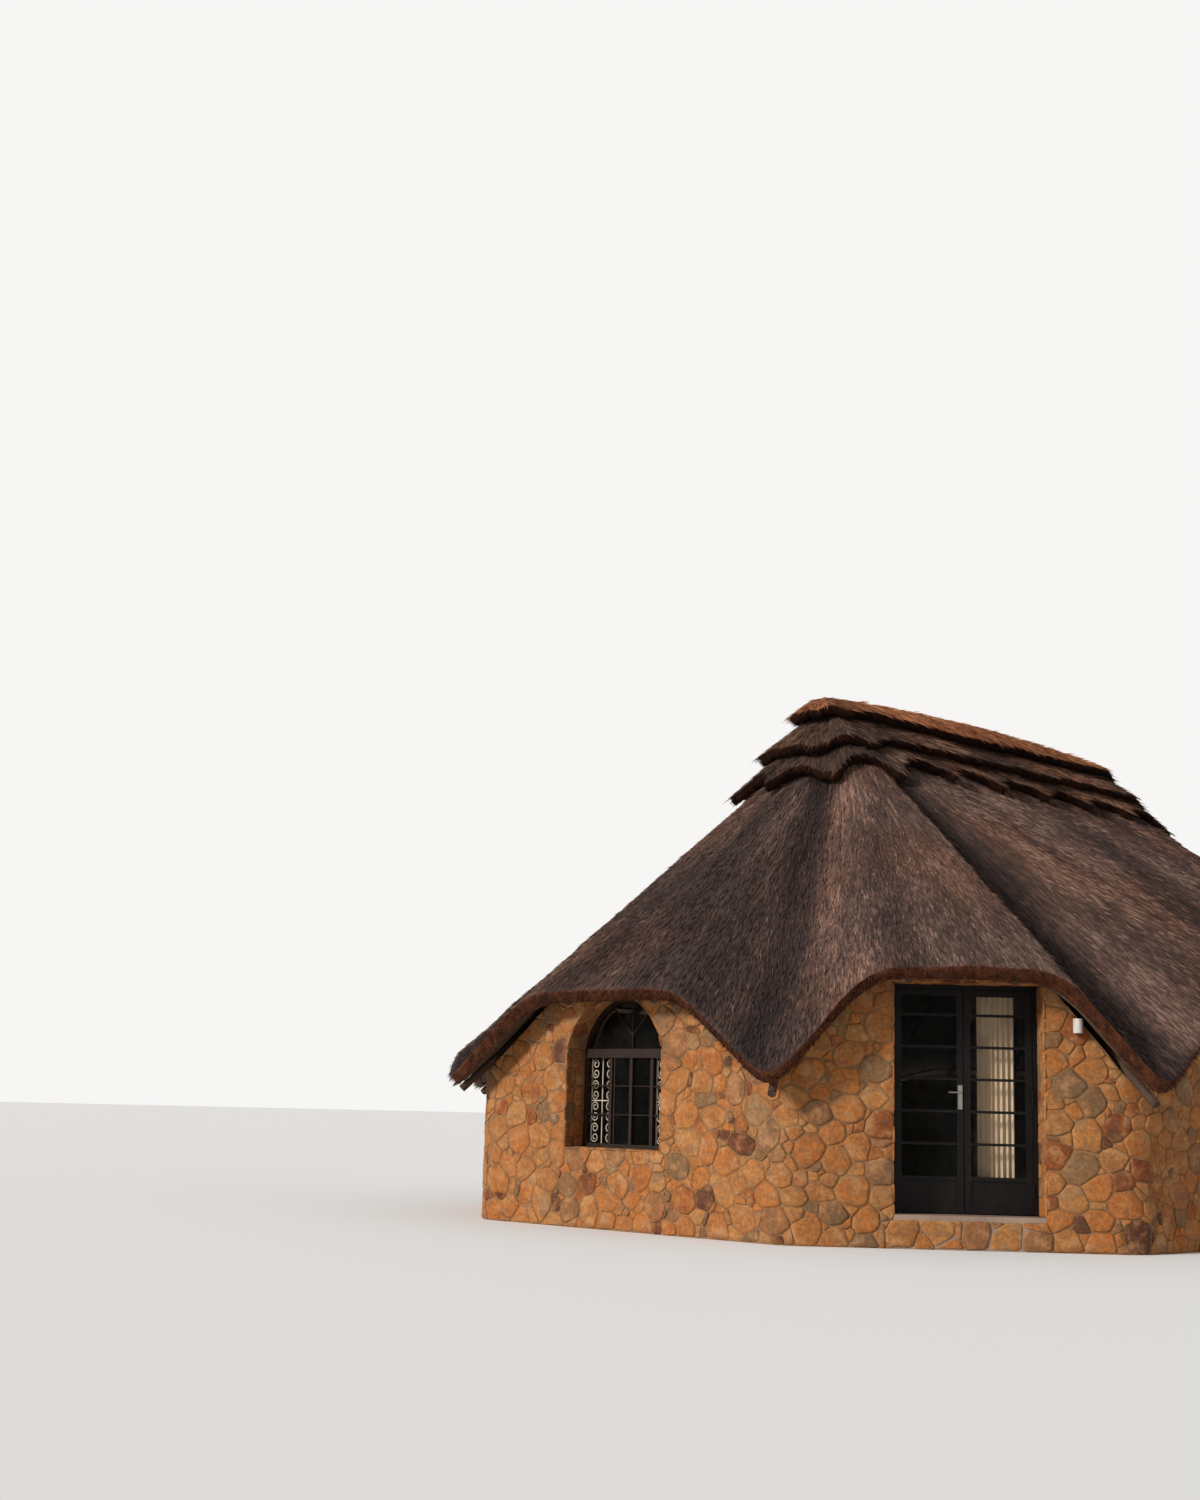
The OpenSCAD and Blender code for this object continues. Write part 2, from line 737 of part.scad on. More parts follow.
// Curtains hang from a rail behind the door
rail_y = wall_t + rail_off;
rail_z = soffit_z(DOOR_SIDE, door_x + rail_x + rail_half, rail_y + rail_d / 2)
    - rail_d / 2 - rail_room;
curtain_top = rail_z - rail_d / 2 - seat;
curtain_foot = floor_h + 20;

module curtain_rail() {
    color("#3a3a3a") at_door() {
        translate([rail_x - rail_half, rail_y, rail_z])
            rotate([0, 90, 0]) cylinder(d = rail_d, h = 2 * rail_half);
        for (s = [-1, 1])
            translate([rail_x + s * rail_half * 0.82 - 8, wall_t, rail_z - 8])
                cube([16, rail_off, 16]);
    }
}

module curtain(x, w) {
    translate([x, rail_y - curtain_d / 2, curtain_foot])
        cube([w, curtain_d, curtain_top - curtain_foot]);
}

module cream_curtain() {
    color("#e0d3b0") at_door() curtain(150, curtain_w);
}

module grey_curtain() {
    color("#8c8c8c") at_door() curtain(-door_w / 2 - 195, 300);
}

// Small round wall lamp to the right of the door
lamp_z = soffit_z(DOOR_SIDE, door_x + door_w / 2 + lamp_x + lamp_d / 2, -lamp_d - 20)
    - lamp_l - lamp_room;

module wall_lamp() {
    color("white") at_door()
        translate([door_w / 2 + lamp_x, -lamp_d / 2 - 20, lamp_z]) {
            cylinder(d = lamp_d, h = lamp_l);
            translate([-25, 0, 35]) cube([50, lamp_d / 2 + 20, 60]);
        }
}

window_end_wall();
door_wall_left();
door_wall_right();
door_wall_over();
front_long_wall();
front_far_corner_wall();
far_end_wall();
back_far_corner_wall();
back_long_wall();
back_near_corner_wall();
floor_slab();
door_sill();
door_frame();
left_door_leaf();
right_door_leaf();
left_door_glass();
right_door_glass();
door_handle();
end_window_frame();
end_window_glass();
end_window_guards();
far_window_frame();
far_window_glass();
far_window_guards();
front_ribbon_frame();
front_ribbon_glass();
back_ribbon_frame();
back_ribbon_glass();
thatch_window_end();
thatch_door_side();
thatch_front();
thatch_front_far_corner();
thatch_far_end();
thatch_back_far_corner();
thatch_back();
thatch_back_near_corner();
ridge_cap_lower();
ridge_cap_middle();
ridge_cap_top();
rafters();
ridge_pole();
cream_curtain();
grey_curtain();
curtain_rail();
wall_lamp();
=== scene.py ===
import random
from math import asin, copysign, cos, dist, exp, hypot, pi, radians, sin, sqrt, tan

import bmesh
import bpy
import numpy as np
from mathutils import Matrix, Vector, noise


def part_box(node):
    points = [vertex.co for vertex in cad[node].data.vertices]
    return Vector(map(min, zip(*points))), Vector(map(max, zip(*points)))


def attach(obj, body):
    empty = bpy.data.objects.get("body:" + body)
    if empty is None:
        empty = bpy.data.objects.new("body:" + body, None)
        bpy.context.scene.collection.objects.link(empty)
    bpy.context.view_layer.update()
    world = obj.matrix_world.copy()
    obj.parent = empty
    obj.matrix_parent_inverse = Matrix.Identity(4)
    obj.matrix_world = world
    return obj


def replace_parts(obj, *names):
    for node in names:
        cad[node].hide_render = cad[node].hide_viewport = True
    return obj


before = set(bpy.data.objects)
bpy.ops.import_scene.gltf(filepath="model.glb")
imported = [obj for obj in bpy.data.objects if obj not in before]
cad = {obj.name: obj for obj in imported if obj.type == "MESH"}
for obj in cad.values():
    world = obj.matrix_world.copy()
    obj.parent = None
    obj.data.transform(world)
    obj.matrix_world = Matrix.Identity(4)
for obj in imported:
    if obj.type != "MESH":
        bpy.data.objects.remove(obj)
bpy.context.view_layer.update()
print("frame loaded:", len(cad), "nodes")


# node trees: sums are written as plain expressions

class Wire:
    def __init__(self, tree, socket=None):
        self.tree, self.socket = tree, socket

    def node(self, kind, values=None, out=0, **setup):
        made = self.tree.nodes.new(kind)
        for name, value in setup.items():
            setattr(made, name, value)
        for key, value in (values or {}).items():
            socket = self.pick(made.inputs, key)
            if isinstance(value, Wire):
                self.tree.links.new(value.socket, socket)
            elif isinstance(value, list):
                for wire in value:
                    self.tree.links.new(wire.socket, socket)
            else:
                socket.default_value = value
        return Wire(self.tree, self.pick(made.outputs, out))

    def geo(self, kind, values=None, out=0, **setup):
        return self.node("GeometryNode" + kind, values, out, **setup)

    def pick(self, sockets, key):
        if isinstance(key, int):
            return sockets[key]
        return next(s for s in sockets if s.name == key and s.enabled)

    def also(self, out):  # another output of the node that this socket is on
        return Wire(self.tree, self.pick(self.socket.node.outputs, out))

    def math(self, operation, other):
        return self.node("ShaderNodeMath", {0: self, 1: other}, operation=operation)

    def vector(self, operation, other, second=1):
        return self.node("ShaderNodeVectorMath", {0: self, second: other}, operation=operation)

    def __add__(self, other): return self.math("ADD", other)
    def __mul__(self, other): return self.math("MULTIPLY", other)
    def __sub__(self, other): return self.math("SUBTRACT", other)

    def between(self, low, high, first=0.0, last=1.0):
        return self.node("ShaderNodeMapRange", {"Value": self, "From Min": low, "From Max": high,
            "To Min": first, "To Max": last}, interpolation_type="SMOOTHSTEP")

    def stretch(self, x, y, z):
        return self.vector("MULTIPLY", (x, y, z))

    def grain(self, scale, detail=3.0, rough=0.6):
        return self.node("ShaderNodeTexNoise", {"Vector": self, "Scale": scale,
            "Detail": detail, "Roughness": rough}, "Fac")

    def mix(self, first, second, kind="MIX"):  # this socket is the mask
        first = first if isinstance(first, Wire) else (*first, 1)
        return self.node("ShaderNodeMix", {0: self, 6: first, 7: (*second, 1)}, 2,
            data_type="RGBA", blend_type=kind)

    def ramp(self, *stops):  # each stop: its place and its colour
        made = self.node("ShaderNodeValToRGB", {"Fac": self}, "Color")
        scale = made.socket.node.color_ramp
        scale.elements.remove(scale.elements[1])
        for k, (at, tone) in enumerate(stops):
            stop = scale.elements.new(at) if k else scale.elements[0]
            stop.position, stop.color = at, (*tone, 1)
        return made

    def bump(self, strength, distance):
        return self.node("ShaderNodeBump", {"Height": self, "Strength": strength,
            "Distance": distance}, "Normal")


def attribute(wire, name, out="Fac"):
    return wire.node("ShaderNodeAttribute", out=out, attribute_name=name)


def place(wire):  # the coordinates of the object itself
    return wire.node("ShaderNodeTexCoord", out="Object")


def finish(name, fixed, build=None):
    material = bpy.data.materials.new(name)
    material.use_nodes = True
    shader = material.node_tree.nodes["Principled BSDF"]
    for key, value in fixed.items():
        shader.inputs[key].default_value = value
    if build:
        wire = Wire(material.node_tree)
        for key, value in build(wire).items():
            material.node_tree.links.new(value.socket, shader.inputs[key])
    return material


def added(name, data):  # a new object in the scene
    made = bpy.data.objects.new(name, data)
    bpy.context.scene.collection.objects.link(made)
    return made


square = ((-1, -1), (1, -1), (1, 1), (-1, 1))


# camera, lamps and floor

cameraSet = {"eye": (-19.927, -14.195, 1.18), "heading": 46.089, "pitch": 10.138,
    "roll": 0.026, "lens": 48.0, "sensor": 36.0, "far": 900}  # the roll is in radians
lightSet = {"keyPower": 3.5, "keyAngle": 10.0, "keyFrom": (-0.95, 0.17, 0.40),
    "fillPower": 0.22, "fillAngle": 40.0, "fillFrom": (0.2, -0.9, 0.5),
    "sky": 0.42, "seenSky": 0.93, "floorHalf": 220, "floorDown": 0.002}


def makeCamera():
    turned, pitch = (radians(cameraSet[k]) for k in ("heading", "pitch"))
    ahead = Vector((cos(turned) * cos(pitch), sin(turned) * cos(pitch), sin(pitch)))
    right = Vector((sin(turned), -cos(turned), 0))
    up = right.cross(ahead)
    c, s = cos(cameraSet["roll"]), sin(cameraSet["roll"])
    right, up = c * right + s * up, c * up - s * right
    data = bpy.data.cameras.new("photoView")
    data.lens, data.sensor_width = cameraSet["lens"], cameraSet["sensor"]
    data.clip_end = cameraSet["far"]
    camera = added("photoView", data)
    turn = Matrix((right, up, -ahead)).transposed().to_4x4()
    camera.matrix_world = Matrix.Translation(Vector(cameraSet["eye"])) @ turn
    bpy.context.scene.camera = camera


def makeSun(name):
    data = bpy.data.lights.new(name + "Sun", "SUN")
    data.energy, data.angle = lightSet[name + "Power"], radians(lightSet[name + "Angle"])
    sun = added(name + "Sun", data)
    sun.rotation_mode = "QUATERNION"
    sun.rotation_quaternion = Vector(lightSet[name + "From"]).to_track_quat("Z", "Y")


def seenDirect(wire):  # 1 where the camera, a reflection or a pane looks straight at it
    ray = wire.node("ShaderNodeLightPath", out="Is Camera Ray")
    return (ray + ray.also("Is Glossy Ray") + ray.also("Is Transmission Ray")).math("MINIMUM", 1.0)


def makeStage():
    world = bpy.data.worlds.new("studio")
    bpy.context.scene.world = world
    world.use_nodes = True
    sky = lightSet["sky"]
    strength = seenDirect(Wire(world.node_tree)) * (lightSet["seenSky"] - sky) + sky
    back = world.node_tree.nodes["Background"]
    world.node_tree.links.new(strength.socket, back.inputs["Strength"])
    back.inputs["Color"].default_value = (1, 0.99, 0.98, 1)
    half, down = lightSet["floorHalf"], lightSet["floorDown"]
    mesh = bpy.data.meshes.new("studioFloor")
    mesh.from_pydata([(x * half, y * half, -down) for x, y in square], [], [(0, 1, 2, 3)])
    mesh.materials.append(finish("paleFloor", {"Base Color": (0.80, 0.79, 0.77, 1),
        "Roughness": 0.9}))
    added("studioFloor", mesh)
    bpy.context.scene.view_settings.view_transform = "Standard"


makeCamera()
makeSun("key")
makeSun("fill")
makeStage()
print("camera, lamps and floor made")


# plan and roof, in the same sizes as the solids

hut = {"length": 11.62, "width": 8.72, "cut": 2.285, "corner": 0.45, "floor": 0.3}
roof = {"ridge": 5.25, "ridgeLength": 4.98, "overhang": 0.435, "tip": 1.12,
    "doorEave": 2.2, "plainEave": 1.4, "endEave": 2.0, "longEave": 2.06,
    "doorRaise": 1.74, "endRaise": 2.1,
    "blend": 0.2, "edge": 0.15, "tilt": 40.0, "drop": 0.28, "gap": 0.06}
lean = tan(radians(22.5))
ridgeHalf = roof["ridgeLength"] / 2
ridgeTop = hut["floor"] + roof["ridge"]
cutIn = roof["edge"] * sin(radians(roof["tilt"]))
cutDown = roof["edge"] * cos(radians(roof["tilt"]))


def heading(degrees):
    return Vector((cos(radians(degrees)), sin(radians(degrees))))


def kind(i):
    return "end" if i % 4 == 0 else "long" if i % 4 == 2 else "door"


outward = [heading(180 + 45 * i) for i in range(8)]
along = [heading(270 + 45 * i) for i in range(8)]
sideLength = [{"end": hut["width"] - 2 * hut["cut"], "long": hut["length"] - 2 * hut["cut"],
    "door": hut["cut"] * sqrt(2)}[kind(i)] for i in range(8)]


def sideMiddle(i):
    o = outward[i]
    if kind(i) == "end":
        return Vector((o.x * hut["length"] / 2, 0))
    if kind(i) == "long":
        return Vector((0, o.y * hut["width"] / 2))
    return Vector((copysign((hut["length"] - hut["cut"]) / 2, o.x),
        copysign((hut["width"] - hut["cut"]) / 2, o.y)))


def eaveHalf(i):
    return sideLength[i] / 2 + roof["overhang"] * lean


def raiseHalf(i):
    return {"end": roof["endRaise"] / 2, "long": ridgeHalf, "door": roof["doorRaise"] / 2}[kind(i)]


def eaveHeight(i, x):
    high = hut["floor"] + roof["plainEave" if kind(i) == "door" and i != 1 else kind(i) + "Eave"]
    fall = (high - hut["floor"] - roof["tip"]) / (eaveHalf(i) - raiseHalf(i))
    b, d = roof["blend"], abs(x) - raiseHalf(i)
    return high - fall * (0 if d < -b else (d + b) ** 2 / (4 * b) if d < b else d)


def strawRule(i, x):  # ridge foot, heading, run to the eave, eave height, run to the cut's foot
    p = sideMiddle(i) + x * along[i] + roof["overhang"] * outward[i]
    foot = Vector((max(-ridgeHalf, min(ridgeHalf, p.x)), 0))
    run = (p - foot).length
    d = (p - foot) / run
    t = max(0, min(1, (abs(x) - raiseHalf(i)) / (eaveHalf(i) - raiseHalf(i))))
    return foot, d, run, eaveHeight(i, x), run - cutIn * ((1 - t) / d.dot(outward[i]) + t)


def overHeight(rule, run):
    return ridgeTop + (rule[3] - ridgeTop) * (run - roof["gap"]) / (rule[2] - roof["gap"])


def underHeight(rule, run):
    top = ridgeTop - roof["drop"]
    return top + (rule[3] - cutDown - top) * (run - roof["gap"]) / (rule[4] - roof["gap"])


def onRule(rule, run, z):
    return (rule[0].x + rule[1].x * run, rule[0].y + rule[1].y * run, z)


# helpers for pieces

def linkPiece(name, mesh, materials=(), smooth=True):
    piece = added(name, mesh)
    for material in materials:
        mesh.materials.append(material)
    if smooth:
        mesh.polygons.foreach_set("use_smooth", [True] * len(mesh.polygons))
    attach(piece, "hut")
    return piece


def meshOf(name, points, faces, values=None):  # values: attribute name -> one value a point
    mesh = bpy.data.meshes.new(name)
    mesh.from_pydata(np.reshape(points, (-1, 3)).tolist(), [], faces)
    mesh.validate()
    for key, value in (values or {}).items():
        value = np.ravel(value).astype(float)
        vector = len(value) > len(mesh.vertices)
        layer = mesh.attributes.new(key, "FLOAT_VECTOR" if vector else "FLOAT", "POINT")
        layer.data.foreach_set("vector" if vector else "value", value)
    return mesh


def geometryTree(build, **sizes):  # sizes: name -> kind of socket
    tree = bpy.data.node_groups.new(build.__name__, "GeometryNodeTree")
    for label, what in {"Geometry": "Geometry", **sizes, "Material": "Material"}.items():
        tree.interface.new_socket(label, in_out="INPUT", socket_type="NodeSocket" + what)
    tree.interface.new_socket("Geometry", in_out="OUTPUT", socket_type="NodeSocketGeometry")
    entry, leave = tree.nodes.new("NodeGroupInput"), tree.nodes.new("NodeGroupOutput")
    wire, given = Wire(tree), {s.name: Wire(tree, s) for s in entry.outputs if s.name}
    real = wire.geo("RealizeInstances", {"Geometry": build(wire, given)})
    done = wire.geo("SetMaterial", {"Geometry": real, "Material": given["Material"]})
    tree.links.new(done.socket, leave.inputs[0])
    return tree


def grow(name, mesh, tree, sizes, smooth=True):  # what the tree makes of the mesh
    source = added(name + "Base", mesh)
    modifier = source.modifiers.new(name, "NODES")
    modifier.node_group = tree
    for item in tree.interface.items_tree:
        if item.in_out == "INPUT" and item.name in sizes:
            modifier[item.identifier] = sizes[item.name]
    graph = bpy.context.evaluated_depsgraph_get()
    graph.update()
    grown = bpy.data.meshes.new_from_object(source.evaluated_get(graph), depsgraph=graph)
    grown.name = name
    source.modifiers.remove(modifier)
    bpy.data.objects.remove(source)
    return linkPiece(name, grown, smooth=smooth)


# finishes

def strawFinish(name, settings):
    def build(wire):
        bed = attribute(wire, "straw", "Vector")
        fan, tuft, valley = (attribute(wire, key) for key in ("fan", "tuft", "valley"))
        strands = bed.stretch(1, 1, 0.16)
        streak = wire.node("ShaderNodeMix", {0: fan.between(0.35, 0.75),
            2: strands.grain(17.0, 3.0, 0.7), 3: strands.grain(42.0, 3.0, 0.7)})
        fleck = bed.stretch(1, 1, 0.3).grain(95.0, 2.0, 0.6)
        patch = bed.stretch(1, 1, 0.35).grain(1.1, 4.0, 0.62)
        band = bed.stretch(1, 1, 0.07).grain(0.85, 2.0, 0.5)
        # valley darkens the straw near the valley lines between sides: painted shade there,
        # together with damper, darker straw
        light = (streak.between(0.36, 0.66) * 0.42 + patch.between(0.38, 0.66) * 0.3
            + band.between(0.36, 0.62) * 0.3 + fleck.between(0.52, 0.75) * 0.22 + tuft * 0.26
            - valley * 0.3)
        tone = light.ramp(*zip((0.0, 0.3, 0.52, 0.74, 1.0), settings["tones"]))
        warm = bed.grain(0.55, 2.0, 0.5).between(0.42, 0.64) * settings["warmth"]
        return {"Base Color": warm.mix(tone, settings["warmTint"], "MULTIPLY"),
            "Normal": (streak * 0.7 + fleck * 0.3).bump(0.75, 0.02)}
    return finish(name, {"Roughness": 0.93, "Specular IOR Level": 0.2}, build)


thatchFinish = strawFinish("weatheredThatch", {"warmth": 0.75, "warmTint": (1.0, 0.84, 0.72),
    "tones": ((0.0128, 0.0082, 0.0078), (0.0350, 0.0207, 0.0173), (0.0670, 0.0387, 0.0300),
        (0.1240, 0.0708, 0.0532), (0.2600, 0.1620, 0.1230))})
capFinish = strawFinish("capThatch", {"warmth": 0.9, "warmTint": (1.0, 0.8, 0.64),
    "tones": ((0.0112, 0.0070, 0.0060), (0.0307, 0.0172, 0.0130), (0.0560, 0.0312, 0.0224),
        (0.1000, 0.0540, 0.0360), (0.2050, 0.1200, 0.0800))})
# the crown's straw: the same finish in lighter, warmer tones, a painted sunlight on the top layer
sunlitCrownFinish = strawFinish("crownThatch", {"warmth": 0.8, "warmTint": (1.0, 0.84, 0.7),
    "tones": ((0.0410, 0.0160, 0.0086), (0.1030, 0.0385, 0.0182), (0.1710, 0.0658, 0.0298),
        (0.2462, 0.0975, 0.0430), (0.3760, 0.1680, 0.0795))})


def buildCutEdge(wire):
    where = place(wire)
    ends = wire.node("ShaderNodeTexVoronoi", {"Vector": where, "Scale": 120.0}, "Distance")
    mask = (ends.between(0.1, 0.6) * 0.25 + where.grain(3.5, 4.0, 0.65) * 0.35
        + where.stretch(1, 1, 0.4).grain(17.0, 5.0, 0.75) * 0.62)
    tone = mask.ramp((0.36, (0.0065, 0.0022, 0.0013)), (0.54, (0.025, 0.0078, 0.0038)),
        (0.66, (0.062, 0.0195, 0.0088)), (0.82, (0.15, 0.05, 0.021)))
    return {"Base Color": tone, "Normal": ends.bump(0.8, 0.012)}


# cut ends of the cap layers and their fringes: the cut-straw colour, darkened to near black as a
# painted shadow under each layer's edge
def buildCapCut(wire):
    made = buildCutEdge(wire)
    paintedShadow = place(wire).grain(6.0).between(0.3, 0.75, 0.75, 1.0)
    made["Base Color"] = paintedShadow.mix(made["Base Color"], (0.12, 0.11, 0.12), "MULTIPLY")
    return made


def buildSoffit(wire):
    reed = place(wire).stretch(1, 1, 0.5).grain(30.0, 4.0, 0.7)
    return {"Base Color": reed.ramp((0.3, (0.05, 0.034, 0.022)), (0.7, (0.17, 0.12, 0.075))),
        "Normal": reed.bump(0.7, 0.012)}


cutFinish = finish("cutStrawEnds", {"Roughness": 0.95, "Specular IOR Level": 0.15}, buildCutEdge)
# the cap's cut faces, with painted shadow
capCutShadowFinish = finish("cutCapEnds", {"Roughness": 0.96, "Specular IOR Level": 0.1}, buildCapCut)
soffitFinish = finish("thatchUnderside", {"Roughness": 0.95}, buildSoffit)
print("thatch finishes made")


# thatch: one continuous coat over the eight sides

coat = {"column": 0.09, "rows": 58, "smooth": 5, "lumps": (0.020, 2.1, 0.010, 7.0), "cutRows": 3,
    "cutLumps": (0.016, 9.0, 0.016, 27.0), "bulge": 0.012, "underRows": 9, "back": 0.03,
    "valley": 0.42, "bare": 0.17, "inset": 0.024}  # the ridge cap hides the bare share
bed = {"density": 660.0, "length": 0.088, "thick": 0.006, "lift": 0.10, "seed": 4}
fringe = {"density": 2400.0, "length": 0.075, "thick": 0.0044, "lift": 0.0, "seed": 9}


def roofColumns():
    columns = []
    for i in range(8):
        h = eaveHalf(i)
        n = round(2 * h / coat["column"])
        columns += [(i, -h + 2 * h * k / n) for k in range(n)]
    return columns


columns = roofColumns()
rules = [strawRule(i, x) for i, x in columns]
columnCount = len(columns)
eavePoints = np.array([onRule(r, r[2], r[3]) for r in rules])
spans = np.linalg.norm((np.roll(eavePoints, -1, 0) - eavePoints)[:, :2], axis=1)
eaveLength = spans.sum()
roundIt = np.concatenate([[0], np.cumsum(spans)[:-1]]) / eaveLength * 2 * pi
ringRadius = eaveLength / (2 * pi)


def ringSmooth(values, times):  # softens the creases from column to column
    for _ in range(times):
        values = 0.25 * np.roll(values, 1, 0) + 0.5 * values + 0.25 * np.roll(values, -1, 0)
    return values


def coatRings():
    gap, back = roof["gap"], coat["back"]

    def lines(count, height, runAt):
        found = [[onRule(r, runAt(r, t), height(r, runAt(r, t))) for t in np.linspace(0, 1, count)]
            for r in rules]
        return ringSmooth(np.array(found), coat["smooth"])

    return (lines(coat["rows"], overHeight, lambda r, t: gap + (r[2] - back - gap) * t),
        lines(coat["underRows"], underHeight, lambda r, t: r[4] - back + (gap - r[4] + back) * t))


def unit(vectors):
    return vectors / np.maximum(np.linalg.norm(vectors, axis=-1, keepdims=True), 1e-9)


def roughness(points, normals, lump, lumpSize, ripple, rippleSize):
    shift = np.array([lump * noise.noise(Vector(p) * lumpSize)
        + ripple * noise.noise(Vector(p) * rippleSize + Vector((7, 3, 1)))
        for p in points.reshape(-1, 3)]).reshape(points.shape[:-1])
    return points + normals * (shift - 0.35 * (lump + ripple))[..., None]


def strawValues(top):
    fall = unit(np.gradient(top, axis=1))
    side = np.roll(top, -1, 0) - np.roll(top, 1, 0)
    normal = unit(np.cross(side, fall))
    normal *= np.sign(normal[..., 2:3])
    width = np.linalg.norm(side, axis=-1)
    fan = width / width[:, -1:]
    down = np.concatenate([np.zeros((len(top), 1)),
        np.cumsum(np.linalg.norm(np.diff(top, axis=1), axis=-1), axis=1)], axis=1)
    return fall, normal, np.minimum(fan, 1), down


def loopFaces(n, rows, wrap=True):
    return [(c * rows + r, c * rows + r + 1, ((c + 1) % n) * rows + r + 1, ((c + 1) % n) * rows + r)
        for c in range(n if wrap else n - 1) for r in range(rows - 1)]


topRings, underRings = coatRings()
lowRing = underRings[:, 0]
fallDirection, topNormal, fanShare, downSlope = strawValues(topRings)
topRings = roughness(topRings, topNormal, *coat["lumps"])
# the straw finishes use this to paint shade along the valleys, together with damper, darker straw
# there
valley = np.array([exp(-((eaveHalf(i) - abs(x)) / coat["valley"]) ** 2)
    for i, x in columns])  # 1 on the valley lines between two sides, 0 away from them
bedPlace = np.stack([np.repeat((ringRadius * np.cos(roundIt))[:, None], coat["rows"], 1),
    np.repeat((ringRadius * np.sin(roundIt))[:, None], coat["rows"], 1), downSlope], axis=-1)


def makeCoat():
    rows = coat["rows"]
    cuts = np.linspace(0, 1, coat["cutRows"] + 2)[1:-1]
    edge = topRings[:, -1]
    bulge = unit(edge - np.array([[*r[0], ridgeTop] for r in rules])) * coat["bulge"]
    between = np.stack([edge * (1 - t) + lowRing * t + bulge * sin(pi * t) for t in cuts], axis=1)
    between = roughness(between, np.repeat(fallDirection[:, -1:], len(cuts), 1), *coat["cutLumps"])
    ring = np.concatenate([topRings, between, underRings], axis=1)
    total = ring.shape[1]
    pad = total - rows
    faces = loopFaces(columnCount, total)
    faces += [(c * total + total - 1, c * total, ((c + 1) % columnCount) * total,
        ((c + 1) % columnCount) * total + total - 1) for c in range(columnCount)]
    straw = np.concatenate([bedPlace, np.repeat(bedPlace[:, -1:], pad, 1)], 1)
    mesh = meshOf("thatchCoat", ring, faces, {"straw": straw,
        "fan": np.concatenate([fanShare, np.ones((columnCount, pad))], 1),
        "valley": np.repeat(valley, total), "tuft": np.zeros(columnCount * total)})
    piece = linkPiece("thatchCoat", mesh, (thatchFinish, cutFinish, soffitFinish))
    rowOf = np.tile(np.arange(total - 1), columnCount)
    which = np.where(rowOf < rows - 1, 0, np.where(rowOf < rows + coat["cutRows"], 1, 2))
    mesh.polygons.foreach_set("material_index", np.concatenate([which, np.full(columnCount, 2)]))
    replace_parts(piece, "thatch_window_end", "thatch_door_side", "thatch_front",
        "thatch_front_far_corner", "thatch_far_end", "thatch_back_far_corner",
        "thatch_back", "thatch_back_near_corner")


makeCoat()
print("thatch coat made")


# straw: tapered tufts that lie down the slope

def layStraw(wire, given):
    bedPoints = wire.geo("DistributePointsOnFaces", {
        "Mesh": given["Geometry"], "Density": given["Density"], "Seed": given["Seed"]}, "Points")
    fall = wire.geo("InputNamedAttribute", {"Name": "fall"}, "Attribute", data_type="FLOAT_VECTOR")
    stray = wire.node("FunctionNodeRandomValue", {0: (-0.2, -0.2, -0.12), 1: (0.2, 0.2, 0.12),
        "Seed": given["Seed"]}, data_type="FLOAT_VECTOR")
    raised = bedPoints.also("Normal").vector("SCALE", given["Lift"], "Scale")
    aim = fall.vector("ADD", raised).vector("ADD", stray)
    turn = wire.node("FunctionNodeAlignRotationToVector", {"Vector": aim}, axis="Z")
    straw = wire.geo("MeshCone", {"Vertices": 3, "Radius Top": 0.0,
        "Radius Bottom": given["Thick"], "Depth": given["Length"]}, "Mesh")
    size = wire.node("FunctionNodeRandomValue", {2: 0.55, 3: 1.35}, 1)
    laid = wire.geo("InstanceOnPoints", {"Points": bedPoints,
        "Instance": straw, "Rotation": turn, "Scale": size})
    shade = wire.node("FunctionNodeRandomValue", {2: -1.0, 3: 1.0}, 1)
    return wire.geo("StoreNamedAttribute", {"Geometry": laid, "Name": "tuft", "Value": shade},
        domain="INSTANCE")


strawLaid = geometryTree(layStraw, Density="Float", Length="Float", Thick="Float", Lift="Float",
    Seed="Int")


def strawBed(name, points, values, faces, material, sizes):
    sizes = {key.capitalize(): size for key, size in sizes.items()}
    grow(name, meshOf(name + "Bed", points, faces, values), strawLaid,
        {**sizes, "Material": material}, smooth=False)


def layRoofStraw():
    rows = coat["rows"]
    first = int(rows * coat["bare"])
    for side in range(8):
        held = [c for c, (i, x) in enumerate(columns) if i == side]
        held = held + [(held[-1] + 1) % columnCount]
        pick = np.ix_(held, range(first, rows - 1))
        n = rows - 1 - first
        strawBed("thatchStraw" + str(side + 1), topRings[pick], {
            "fall": fallDirection[pick], "straw": bedPlace[pick],
            "fan": fanShare[pick], "valley": np.repeat(valley[held], n)},
            loopFaces(len(held), n, wrap=False), thatchFinish, bed)


def layFringe():
    edge, fall = topRings[:, -1], fallDirection[:, -1:]
    rings = np.stack([edge, (edge + lowRing) / 2, lowRing], axis=1) - fall * coat["inset"]
    strawBed("eaveFringe", rings, {"fall": np.repeat(fall, 3, 1)},
        loopFaces(columnCount, 3), cutFinish, fringe)


layRoofStraw()
layFringe()
print("straw laid")


# ridge cap: three layers, each a tent over the ridge with a cut lower edge

